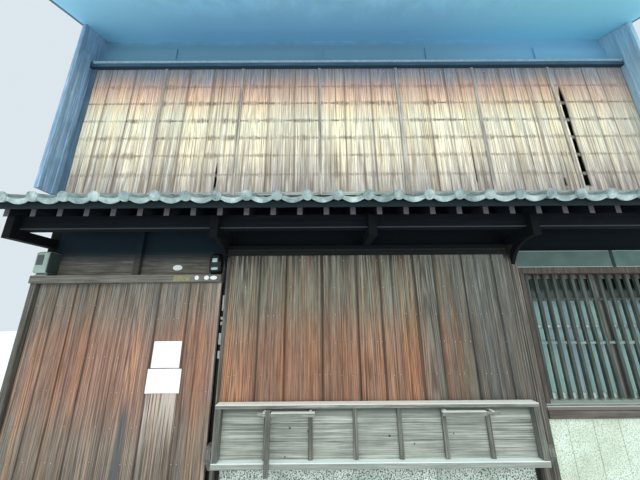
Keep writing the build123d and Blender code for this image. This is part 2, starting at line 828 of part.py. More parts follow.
wing_top_gap = 1.0
wing_front = upper_board_plane - wing_out
wing_outline = [(post_front, sill_bottom), (wing_front, sill_bottom),
                (wing_front, rafter_underside(wing_front) - soffit_thickness - wing_top_gap),
                (post_front, rafter_underside(post_front) - soffit_thickness - wing_top_gap)]
save("wing_board_left", along_x(wing_outline, -wing_inner - wing_thickness, -wing_inner))
save("wing_board_right", along_x(wing_outline, wing_inner, wing_inner + wing_thickness))

# Main roof: ridge beam and purlins, then a deck on rafters for each slope, closed under the eave

purlin_width = 105.0
ridge_beam_height = 200.0
purlin_height = 150.0
purlin_y = half_depth / 2


def purlin(y):
    low, high = y - purlin_width / 2, y + purlin_width / 2
    if y == 0:
        seat = rafter_underside(high)
        outline = [(low, seat - ridge_beam_height), (high, seat - ridge_beam_height), (high, seat),
                   (0, rafter_underside(0)), (low, seat)]
    else:
        bottom = min(rafter_underside(low), rafter_underside(high)) - purlin_height
        outline = [(low, bottom), (high, bottom), (high, rafter_underside(high)), (low, rafter_underside(low))]
    return along_x(outline, -inner_x, inner_x)


save("roof_purlins", purlin(-purlin_y), purlin(0.0), purlin(purlin_y))

roof_deck_in = 40.0
roof_deck_front_y = roof_eave_y + roof_deck_in


def roof_frame():
    deck = along_x([(roof_deck_front_y, deck_top(roof_deck_front_y)), (0, deck_top(0)),
                    (0, deck_top(0) - deck_rise), (roof_deck_front_y, deck_top(roof_deck_front_y) - deck_rise)],
                   -outer_x, outer_x)
    count = 2 * front_modules + 1
    for index in range(count):
        centre_x = (index - (count - 1) / 2) * rafter_pitch
        deck += along_x([(roof_deck_front_y, rafter_underside(roof_deck_front_y)), (0, rafter_underside(0)),
                         (0, deck_top(0) - deck_rise),
                         (roof_deck_front_y, deck_top(roof_deck_front_y) - deck_rise)],
                        centre_x - rafter_width / 2, centre_x + rafter_width / 2)
    soffit_back = post_front
    deck += along_x([(roof_deck_front_y, rafter_underside(roof_deck_front_y)),
                     (soffit_back, rafter_underside(soffit_back)),
                     (soffit_back, rafter_underside(soffit_back) - soffit_thickness),
                     (roof_deck_front_y, rafter_underside(roof_deck_front_y) - soffit_thickness)],
                    -outer_x, outer_x)
    deck += along_x([(roof_deck_front_y - fascia_thickness, deck_top(roof_deck_front_y - fascia_thickness)),
                     (roof_deck_front_y, deck_top(roof_deck_front_y)),
                     (roof_deck_front_y, rafter_underside(roof_deck_front_y) - soffit_thickness),
                     (roof_deck_front_y - fascia_thickness,
                      rafter_underside(roof_deck_front_y) - soffit_thickness)], -outer_x, outer_x)
    return deck


save("roof_frame_front", roof_frame())
save("roof_frame_rear", to_rear(roof_frame()))

roof_cos = math.cos(math.radians(roof_angle))
ridge_gap = 90.0
roof_tile_length = (-ridge_gap - roof_eave_y) / roof_cos
front_tiles = tile_layer(roof_eave_y, deck_top(roof_eave_y), roof_slope, roof_tile_length, (4, 2), False)
save("roof_tiles_front", front_tiles)
save("roof_tiles_rear", to_rear(front_tiles))

ridge_half = 130.0
ridge_height = 200.0
ridge_foot = 78.0
ridge_cap_radius = 75.0


def ridge_stack():
    side = deck_top(ridge_gap)
    foot = side + ridge_foot
    top = foot + ridge_height
    outline = [(-ridge_gap, side), (0, deck_top(0)), (ridge_gap, side), (ridge_gap, foot), (ridge_half, foot),
               (ridge_cap_radius, top), (-ridge_cap_radius, top), (-ridge_half, foot), (-ridge_gap, foot)]
    stack = along_x(outline, -outer_x, outer_x)
    cap = Pos(0, 0, top) * Rot(0, 90, 0) * Cylinder(ridge_cap_radius, 2 * outer_x)
    return stack + cap


save("roof_ridge", ridge_stack())

# Fittings beside the entrance

meter_in = 29.0
meter_width = 135.0
meter_depth = 120.0
terminal_side = 12.0
terminal_back = 30.0
meter_left = -outer_x + meter_in
meter_right = meter_left + meter_width
meter_bottom = lintel_top + terminal_height
meter_front = post_front - meter_depth
meter = block(meter_left, meter_right, meter_front, post_front, meter_bottom, meter_bottom + meter_height)
meter += block(meter_left + terminal_side, meter_right - terminal_side, meter_front + terminal_back, post_front,
               lintel_top, meter_bottom)
save("meter_box", meter)

lamp_post_gap = 9.0
lamp_width = 120.0
lamp_lift = 8.0
lamp_height = 200.0
lamp_depths = (70.0, 95.0, 80.0)
lamp_belly = 60.0
lamp_right = entry_post_left - lamp_post_gap
lamp_left = lamp_right - lamp_width
lamp_bottom = lintel_top + lamp_lift
lamp_top = lamp_bottom + lamp_height
lamp = along_x([(post_front, lamp_bottom), (post_front - lamp_depths[0], lamp_bottom),
                (post_front - lamp_depths[1], lamp_bottom + lamp_belly),
                (post_front - lamp_depths[2], lamp_top), (post_front, lamp_top)], lamp_left, lamp_right)
save("gate_lamp", lamp)

# Rear wall, which repeats the storeys and boards of the front

rear_panel_thickness = 60.0
rear_lower = []
for left_index, right_index in ((0, 2), (2, 5), (5, 7)):
    x_low = grid_x(left_index) + post_width / 2
    x_high = grid_x(right_index) - post_width / 2
    top = shop_sill_top if left_index == 2 else storey_beam_bottom
    panel = block(x_low, x_high, post_front, post_front + rear_panel_thickness, foundation_top, top)
    rear_lower.append(to_rear(panel))
rear_lower.append(to_rear(block(grid_x(2) + post_width / 2, grid_x(5) - post_width / 2, post_front,
                                post_front + rear_panel_thickness, shop_head_bottom, storey_beam_bottom)))
save("rear_lower_wall", *rear_lower)

rear_shutters = []
rear_opening = grid_x(5) - grid_x(2) - post_width
for index in range(3):
    centre_x = (index - 1) * rear_opening / 3
    leaf = board_leaf(rear_opening / 3 - shutter_gap, shop_head_bottom - shop_sill_top, shutter_battens[:-1])
    rear_shutters.append(to_rear(Pos(centre_x, post_front, shop_sill_top) * leaf))
save("rear_shutters", *rear_shutters)

save("rear_upper_shutters", *[to_rear(panel) for panel in upper_panels(rear_row_rises, False)])
rear_sill = block(-wing_inner, wing_inner, upper_board_plane, post_front, sill_bottom, sill_top)
rear_rail = block(-wing_inner, wing_inner, upper_board_plane - rail_out, post_front, shutter_top, rail_top)
save("rear_upper_rails", to_rear(rear_sill), to_rear(rear_rail + head_wall()))

rear_pent = pent_board_layer()
for rafter in pent_rafter_row():
    rear_pent += rafter
save("rear_pent_timber", to_rear(rear_pent))
rear_tiles = tile_layer(pent_eave_y, pent_eave_z, pent_slope, pent_tile_length, (4, 2), False)
save("rear_pent_tiles", to_rear(rear_tiles))
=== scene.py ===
import bmesh
import bpy
import math
import random
from mathutils import Matrix, Vector


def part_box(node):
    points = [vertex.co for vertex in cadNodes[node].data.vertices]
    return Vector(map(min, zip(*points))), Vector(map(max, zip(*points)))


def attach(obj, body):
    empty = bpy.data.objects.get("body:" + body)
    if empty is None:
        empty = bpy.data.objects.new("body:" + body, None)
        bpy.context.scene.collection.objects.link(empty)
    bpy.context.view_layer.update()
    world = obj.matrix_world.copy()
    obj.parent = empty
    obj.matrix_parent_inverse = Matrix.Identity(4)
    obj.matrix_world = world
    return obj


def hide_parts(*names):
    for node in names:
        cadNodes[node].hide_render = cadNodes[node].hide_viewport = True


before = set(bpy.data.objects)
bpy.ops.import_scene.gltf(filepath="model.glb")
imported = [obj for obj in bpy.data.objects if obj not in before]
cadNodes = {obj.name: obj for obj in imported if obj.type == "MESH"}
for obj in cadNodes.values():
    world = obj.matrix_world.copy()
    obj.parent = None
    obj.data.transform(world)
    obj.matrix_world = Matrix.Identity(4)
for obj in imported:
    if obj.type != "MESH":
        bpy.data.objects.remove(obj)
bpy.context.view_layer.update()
print("frame loaded:", len(cadNodes), "nodes")


def boxOf(node):
    low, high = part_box(node)
    return low.x, high.x, low.y, high.y, low.z, high.z


# Helpers for meshes

def newPart():
    return {key: [] for key in ("verts", "faces", "finish", "boardSeed", "boardCentre", "boardAcross")}


def addFaces(part, verts, faces, seed=0.0, centre=0.0, finish=0, across=None):
    start = len(part["verts"])
    part["verts"].extend(verts)
    part["boardSeed"].extend([seed] * len(verts))
    part["boardCentre"].extend([centre] * len(verts))
    part["boardAcross"].extend(across or [0.5] * len(verts))
    part["faces"].extend([start + index for index in face] for face in faces)
    part["finish"].extend([finish] * len(faces))


def addRings(part, rings, seed=0.0, centre=0.0, finish=0, across=None):
    # closed loops of equal length, joined in order, with caps at both ends
    count = len(rings[0])
    faces = []
    for step in range(len(rings) - 1):
        low, high = step * count, (step + 1) * count
        for index in range(count):
            after = (index + 1) % count
            faces.append([low + index, low + after, high + after, high + index])
    faces.append(list(reversed(range(count))))
    faces.append([(len(rings) - 1) * count + index for index in range(count)])
    addFaces(part, [point for ring in rings for point in ring], faces, seed, centre, finish, across)


def circle(sides):
    turns = [2 * math.pi * index / sides for index in range(sides)]
    return [(math.cos(turn), math.sin(turn)) for turn in turns]


def faced(ring, direction):
    # the same ring for the front, turned round for the rear
    return ring if direction < 0 else ring[::-1]


def addBlock(part, xLow, xHigh, yLow, yHigh, zLow, zHigh, seed=0.0, finish=0, chamfer=0.002):
    # a block with all its edges broken
    cut = min(chamfer, (xHigh - xLow) / 3, (yHigh - yLow) / 3, (zHigh - zLow) / 3)
    rings = []
    for inset, z in ((cut, zLow), (0, zLow + cut), (0, zHigh - cut), (cut, zHigh)):
        a, b, c, d = xLow + inset, xHigh - inset, yLow + inset, yHigh - inset
        rings.append([(a + cut, c, z), (b - cut, c, z), (b, c + cut, z), (b, d - cut, z),
                      (b - cut, d, z), (a + cut, d, z), (a, d - cut, z), (a, c + cut, z)])
    addRings(part, rings, seed, (xLow + xHigh) / 2, finish)


def addTimbers(part, timbers, dice, finish=0, chamfer=0.003):
    for timber in timbers:
        addBlock(part, *timber, dice.random(), finish, chamfer)


def addRod(part, start, end, radius, sides=12, seed=0.0, finish=0):
    start, end = Vector(start), Vector(end)
    along = (end - start).normalized()
    across = along.orthogonal().normalized()
    other = along.cross(across)
    rings = [[tuple(place + (across * c + other * s) * radius) for c, s in circle(sides)]
             for place in (start, end)]
    addRings(part, rings, seed, 0.0, finish)


def addDisc(part, x, y, z, radiusX, radiusZ, thickness, finish=0, sides=20):
    rings = [[(x + radiusX * share * c, y - forward, z + radiusZ * share * s) for c, s in circle(sides)]
             for forward, share in ((0.0, 1.0), (thickness * 0.7, 1.0), (thickness, 0.86))]
    addRings(part, rings, 0.0, 0.0, finish)


def meshFrom(name, part):
    mesh = bpy.data.meshes.new(name)
    mesh.from_pydata(part["verts"], [], part["faces"])
    mesh.update()
    return mesh


def linked(name, data):
    made = bpy.data.objects.new(name, data)
    bpy.context.scene.collection.objects.link(made)
    return made


def placePiece(piece, body, stands=()):
    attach(piece, body)
    if stands:
        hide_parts(*stands)
    return piece


def buildPiece(name, part, finishNames, stands=(), body="house"):
    mesh = meshFrom(name, part)
    for key in ("boardSeed", "boardCentre", "boardAcross"):
        mesh.attributes.new(key, "FLOAT", "POINT").data.foreach_set("value", part[key])
    for finishName in finishNames:
        mesh.materials.append(finishes[finishName])
    mesh.polygons.foreach_set("material_index", part["finish"])
    return placePiece(linked(name, mesh), body, stands)


# Helpers for materials; the short ones find their node tree from the sockets that they are given

def shade(red, green, blue):
    # a colour as a paint card shows it, 0 to 255, turned to the light values that shaders use
    def one(value):
        value = value / 255
        return value / 12.92 if value <= 0.04045 else ((value + 0.055) / 1.055) ** 2.4
    return one(red), one(green), one(blue), 1.0


def addNode(tree, kind, inputs=None, **settings):
    made = tree.nodes.new(kind)
    for key, value in settings.items():
        setattr(made, key, value)
    for key, value in (inputs or {}).items():
        socket = made.inputs[key]
        if isinstance(value, bpy.types.NodeSocket):
            tree.links.new(value, socket)
        else:
            socket.default_value = value
    return made


def treeOf(*values):
    return next(value.id_data for value in values if isinstance(value, bpy.types.NodeSocket))


def calc(operation, *values):
    return addNode(treeOf(*values), "ShaderNodeMath", dict(enumerate(values)), operation=operation).outputs[0]


def times(first, *others):
    for other in others:
        first = calc("MULTIPLY", first, other)
    return first


def scaled(value, factor, shift):
    return calc("MULTIPLY_ADD", value, factor, shift)


def between(value, low, high, toLow=0.0, toHigh=1.0, kind="SMOOTHSTEP"):
    inputs = {"Value": value, "From Min": low, "From Max": high, "To Min": toLow, "To Max": toHigh}
    return addNode(treeOf(value), "ShaderNodeMapRange", inputs, interpolation_type=kind).outputs["Result"]


def joined(*values):
    return addNode(treeOf(*values), "ShaderNodeCombineXYZ", dict(enumerate(values))).outputs[0]


def axesOf(vector):
    return addNode(vector.id_data, "ShaderNodeSeparateXYZ", {"Vector": vector}).outputs


def blend(factor, first, second, kind="MIX"):
    return addNode(treeOf(factor, first, second), "ShaderNodeMix", {0: factor, 6: first, 7: second},
                   data_type="RGBA", blend_type=kind).outputs[2]


def toned(colour, tone):
    return blend(1.0, colour, joined(tone, tone, tone), "MULTIPLY")


def ramp(factor, stops):
    made = addNode(factor.id_data, "ShaderNodeValToRGB", {"Fac": factor})
    elements = made.color_ramp.elements
    while len(elements) < len(stops):
        elements.new(0.5)
    for element, (place, colour) in zip(elements, stops):
        element.position = place
        element.color = colour
    return made.outputs["Color"]


def stretched(place, scale):
    return addNode(place.id_data, "ShaderNodeMapping", {"Vector": place, "Scale": scale}).outputs[0]


def noise(place, scale, detail=4.0, roughness=0.55):
    inputs = {"Vector": place, "Scale": scale, "Detail": detail, "Roughness": roughness}
    return addNode(place.id_data, "ShaderNodeTexNoise", inputs).outputs["Fac"]


def boardValue(tree, key):
    return addNode(tree, "ShaderNodeAttribute", attribute_name=key).outputs["Fac"]


def startMaterial(name, roughness, specular):
    material = bpy.data.materials.new(name)
    material.use_nodes = True
    tree = material.node_tree
    tree.nodes.clear()
    gloss = {"Roughness": roughness, "Specular IOR Level": specular}
    shader = addNode(tree, "ShaderNodeBsdfPrincipled", gloss)
    addNode(tree, "ShaderNodeOutputMaterial", {"Surface": shader.outputs[0]})
    return material, shader, addNode(tree, "ShaderNodeTexCoord").outputs["Object"]


def painted(material, shader, colour, height, distance, strength):
    tree = material.node_tree
    bump = addNode(tree, "ShaderNodeBump", {"Height": height, "Distance": distance, "Strength": strength})
    tree.links.new(colour, shader.inputs["Base Color"])
    tree.links.new(bump.outputs[0], shader.inputs["Normal"])
    return material


# Weathered wood: a ramp of tones by height, streaks along the grain, growth rings and stains

woodLooks = {
    "shopBoards": {
        "low": 0.79, "high": 2.13, "rowHalf": 0.006,
        # the last two tones darken the boards' top as painted shadow under the head beam and pent roof
        "tones": [(0.00, shade(146, 112, 92)), (0.28, shade(152, 114, 92)), (0.46, shade(144, 116, 96)),
                  (0.62, shade(122, 112, 96)), (0.80, shade(106, 100, 86)), (0.93, shade(86, 83, 73)),
                  (1.00, shade(52, 50, 44))],
        "ragged": 0.34, "ribs": (0.50, 1.40), "seamShade": 0.60, "spread": 0.20, "rings": 0.9,
        "streakShare": 0.45, "grey": shade(104, 106, 99), "greyFrom": (0.44, 0.76), "greyShare": 0.88,
        "tints": [(0.88, 0.92, 0.98, 1.0), (1.0, 1.0, 1.0, 1.0), (1.12, 1.01, 0.90, 1.0)],
        "topStreaks": (1.45, 1.90, 0.52, shade(148, 150, 136)),
        "stain": shade(44, 38, 35), "glow": (0.38, shade(196, 152, 120)), "footStain": 0.0,
        "nailRows": ((0.81, 0.1), (1.05, 0.1), (1.32, 0.1), (1.56, 0.1), (1.81, 0.1), (2.07, 0.1))},
    "doorBoards": {
        "low": 0.13, "high": 1.86, "rowHalf": 0.006,
        "tones": [(0.00, shade(118, 110, 98)), (0.25, shade(138, 124, 110)), (0.45, shade(152, 119, 101)),
                  (0.70, shade(154, 119, 101)), (0.84, shade(132, 117, 104)), (1.00, shade(110, 106, 96))],
        "ragged": 0.30, "ribs": (0.50, 1.40), "seamShade": 0.60, "spread": 0.20, "rings": 0.7,
        "streakShare": 0.40, "grey": shade(112, 112, 102), "greyFrom": (-2.86, -3.16), "greyShare": 0.45,
        "tints": [(0.88, 0.92, 0.98, 1.0), (1.0, 1.0, 1.0, 1.0), (1.12, 1.01, 0.90, 1.0)],
        "topStreaks": (1.35, 1.85, 0.30, shade(150, 152, 144)),
        "stain": shade(52, 44, 40), "glow": (0.40, shade(198, 156, 126)), "footStain": 0.0,
        "nailRows": ((0.40, 0.1), (0.66, 0.1), (0.93, 0.1), (1.20, 0.1), (1.53, 0.1), (1.66, 0.1))},
    "shutterBoards": {
        "low": 2.79, "high": 4.40, "rowHalf": 0.030,
        # the greyer last two tones at the top are painted shade under the head rail
        "tones": [(0.00, shade(196, 190, 182)), (0.14, shade(224, 216, 200)), (0.30, shade(254, 242, 214)),
                  (0.55, shade(255, 248, 218)), (0.65, shade(255, 234, 200)), (0.75, shade(248, 210, 180)),
                  (0.84, shade(228, 186, 166)), (0.91, shade(184, 168, 166)), (1.00, shade(140, 148, 160))],
        "ragged": 0.16, "ribs": (0.62, 1.16), "seamShade": 0.45, "spread": 0.14, "rings": 0.6,
        "streakShare": 0.70, "grey": shade(186, 178, 172), "greyFrom": (2.10, 3.20), "greyShare": 0.45,
        "tints": [(0.94, 0.95, 0.99, 1.0), (1.0, 1.0, 1.0, 1.0), (1.06, 1.02, 0.93, 1.0)],
        "topStreaks": (4.20, 4.40, 0.30, shade(168, 176, 190)),
        "stain": shade(112, 94, 80), "glow": (0.25, shade(255, 246, 208)), "footStain": 0.60,
        "nailRows": ((2.99, 0.6), (3.22, 0.7), (3.44, 0.85), (3.665, 0.95), (3.90, 0.95), (4.135, 0.6))},
}

# roughness and shine of all worn wood
woodShine = (0.85, 0.22)
# noise on the boards: how fine it is across, in depth and along, its detail and roughness, where it fades in
# and between which shares
boardGrain = {
    "broad": ((14.0, 3.0, 0.8), 3.0, 0.55),
    "streaks": ((75.0, 3.0, 1.6), 3.0, 0.6),
    "fibres": ((330.0, 3.0, 6.0), 3.0, 0.6),
    "heartwood": ((15.0, 3.0, 0.4), 2.0, 0.4),
    "glow": ((95.0, 3.0, 0.8), 2.0, 0.5, 0.54, 0.70),
    "rain": ((38.0, 3.0, 1.0), 3.0, 0.6, 0.44, 0.62),
    "runs": ((150.0, 3.0, 1.1), 2.0, 0.5, 0.52, 0.68),
    "foot": ((26.0, 3.0, 1.5), 4.0, 0.6, 0.42, 0.66),
    "drips": ((48.0, 2.0, 0.5), 2.0, 0.55, 0.58, 0.70, 0.0, 0.40),
    "speck": ((60.0, 1.0, 9.0), 2.0, 0.55, 0.30, 0.62, 0.3, 1.0),
    "smudge": ((6.0, 3.0, 2.0), 4.0, 0.7, 0.40, 0.68, 0.6, 2.2),
    "patches": ((5.0, 3.0, 2.6), 3.0, 0.55, 0.36, 0.62, 0.35, 1.0),
}

# stains on the doors: where each one starts and where it is full
doorMarks = {"paleLeft": (-2.00, -1.96), "paleRight": (-1.675, -1.71), "paleTop": (0.925, 0.905),
             "paleFoot": (0.30, 0.92), "pale": shade(206, 202, 190), "dampX": -2.135,
             "dampWide": (0.055, 0.02), "dampTall": (1.12, 0.80), "damp": shade(74, 84, 88), "share": 0.75}


def boardMaterial(name, look):
    material, shader, place = startMaterial(name, *woodShine)
    x, _, z = axesOf(place)
    seed, centre, across = [boardValue(material.node_tree, key)
                            for key in ("boardSeed", "boardCentre", "boardAcross")]
    shifted = joined(x, times(seed, 9.7), z)
    grain, faded = {}, {}
    for key, (scale, detail, roughness, *ends) in boardGrain.items():
        grain[key] = noise(stretched(shifted, scale), 1.0, detail, roughness)
        if ends:
            faded[key] = between(grain[key], *ends)
    streaks, fibres = grain["streaks"], grain["fibres"]
    # growth rings: distance from a pith that lies a little behind the board and leans along it
    fromCentre = calc("SUBTRACT", x, centre)
    depth = scaled(grain["broad"], 0.035, scaled(z, scaled(seed, 0.07, -0.035), 0.04))
    distance = calc("SQRT", calc("ADD", times(fromCentre, fromCentre), times(depth, depth)))
    rings = calc("SINE", times(distance, 560.0))
    # height of the tone, made ragged by streaks and by the board's own number
    ragged = scaled(streaks, 1.0, scaled(seed, 0.5, -0.75))
    level = scaled(ragged, look["ragged"], z)
    colour = ramp(between(level, look["low"], look["high"], kind="LINEAR"), look["tones"])
    glowShare, glowColour = look["glow"]
    colour = blend(times(faded["glow"], glowShare), colour, glowColour)
    sideGrey = between(scaled(ragged, 0.5, x), *look["greyFrom"], 0.0, look["greyShare"])
    colour = blend(sideGrey, colour, look["grey"])
    # broad bands of redder and greyer heartwood, and pale streaks where rain reaches the top
    tint = ramp(grain["heartwood"], list(zip((0.34, 0.50, 0.66), look["tints"])))
    colour = blend(1.0, colour, tint, "MULTIPLY")
    topStart, topFull, topShare, topColour = look["topStreaks"]
    reach = scaled(grain["rain"], 1.1, calc("ADD", z, -0.55))
    colour = blend(times(between(reach, topStart, topFull), faded["rain"], topShare), colour, topColour)
    # brown runs along the grain, and a stain at the foot
    colour = blend(times(faded["runs"], look["streakShare"]), colour, look["stain"])
    foot = between(z, look["low"] + 0.95, look["low"] + 0.10)
    colour = blend(times(foot, faded["foot"], look["footStain"]), colour, look["stain"])
    # ribs of hard and soft grain
    value = scaled(fibres, 0.55, times(streaks, 0.45))
    ringShare = between(seed, 0.35, 0.60, 0.012 * look["rings"], 0.075 * look["rings"])
    ribs = between(scaled(rings, ringShare, value), 0.36, 0.64, *look["ribs"])
    tone = scaled(seed, look["spread"], 1.0 - look["spread"] * 0.55)
    colour = toned(colour, times(tone, ribs))
    # weather gets in at the seams
    middle = calc("ABSOLUTE", scaled(across, 2.0, -1.0))
    seam = between(scaled(grain["broad"], 0.16, middle), 0.95, 1.06, 0.0, look["seamShade"])
    colour = blend(seam, colour, look["stain"])
    # a soft dark line where the nails of each batten are
    wobble = scaled(grain["speck"], 0.012, z)
    rows, half = 0.0, look["rowHalf"]
    for rowHeight, rowShade in look["nailRows"]:
        near = calc("ABSOLUTE", calc("SUBTRACT", wobble, rowHeight + 0.006))
        near = calc("DIVIDE", near, faded["smudge"])
        rows = calc("MAXIMUM", rows, between(near, half, half * 0.1, 0.0, rowShade))
    colour = blend(times(rows, faded["patches"], faded["speck"]), colour, look["stain"])
    # dark weather streaks
    colour = blend(faded["drips"], colour, look["stain"])
    if name == "doorBoards":
        colour = doorStains(colour, x, z, streaks)
    return painted(material, shader, colour, scaled(fibres, 1.0, scaled(rings, 0.10, streaks)), 0.0018, 0.9)


def doorStains(colour, x, z, streaks):
    # pale runs under the papers and a blue-grey damp patch in the lower half
    s = doorMarks
    wide = times(between(x, *s["paleLeft"]), between(x, *s["paleRight"]))
    tall = times(between(z, *s["paleTop"]), between(z, *s["paleFoot"]))
    colour = blend(times(wide, tall, between(streaks, 0.40, 0.62), s["share"]), colour, s["pale"])
    wide = between(calc("ABSOLUTE", calc("SUBTRACT", x, s["dampX"])), *s["dampWide"])
    tall = between(scaled(streaks, 0.2, z), *s["dampTall"])
    return blend(times(wide, tall, s["share"]), colour, s["damp"])


# Plain worn wood and smooth faces: dark, middle and light tone as on a paint card, grain scale, then bands of
# another tone: axis, where it starts, where it is full, its colour, its share, where it stops

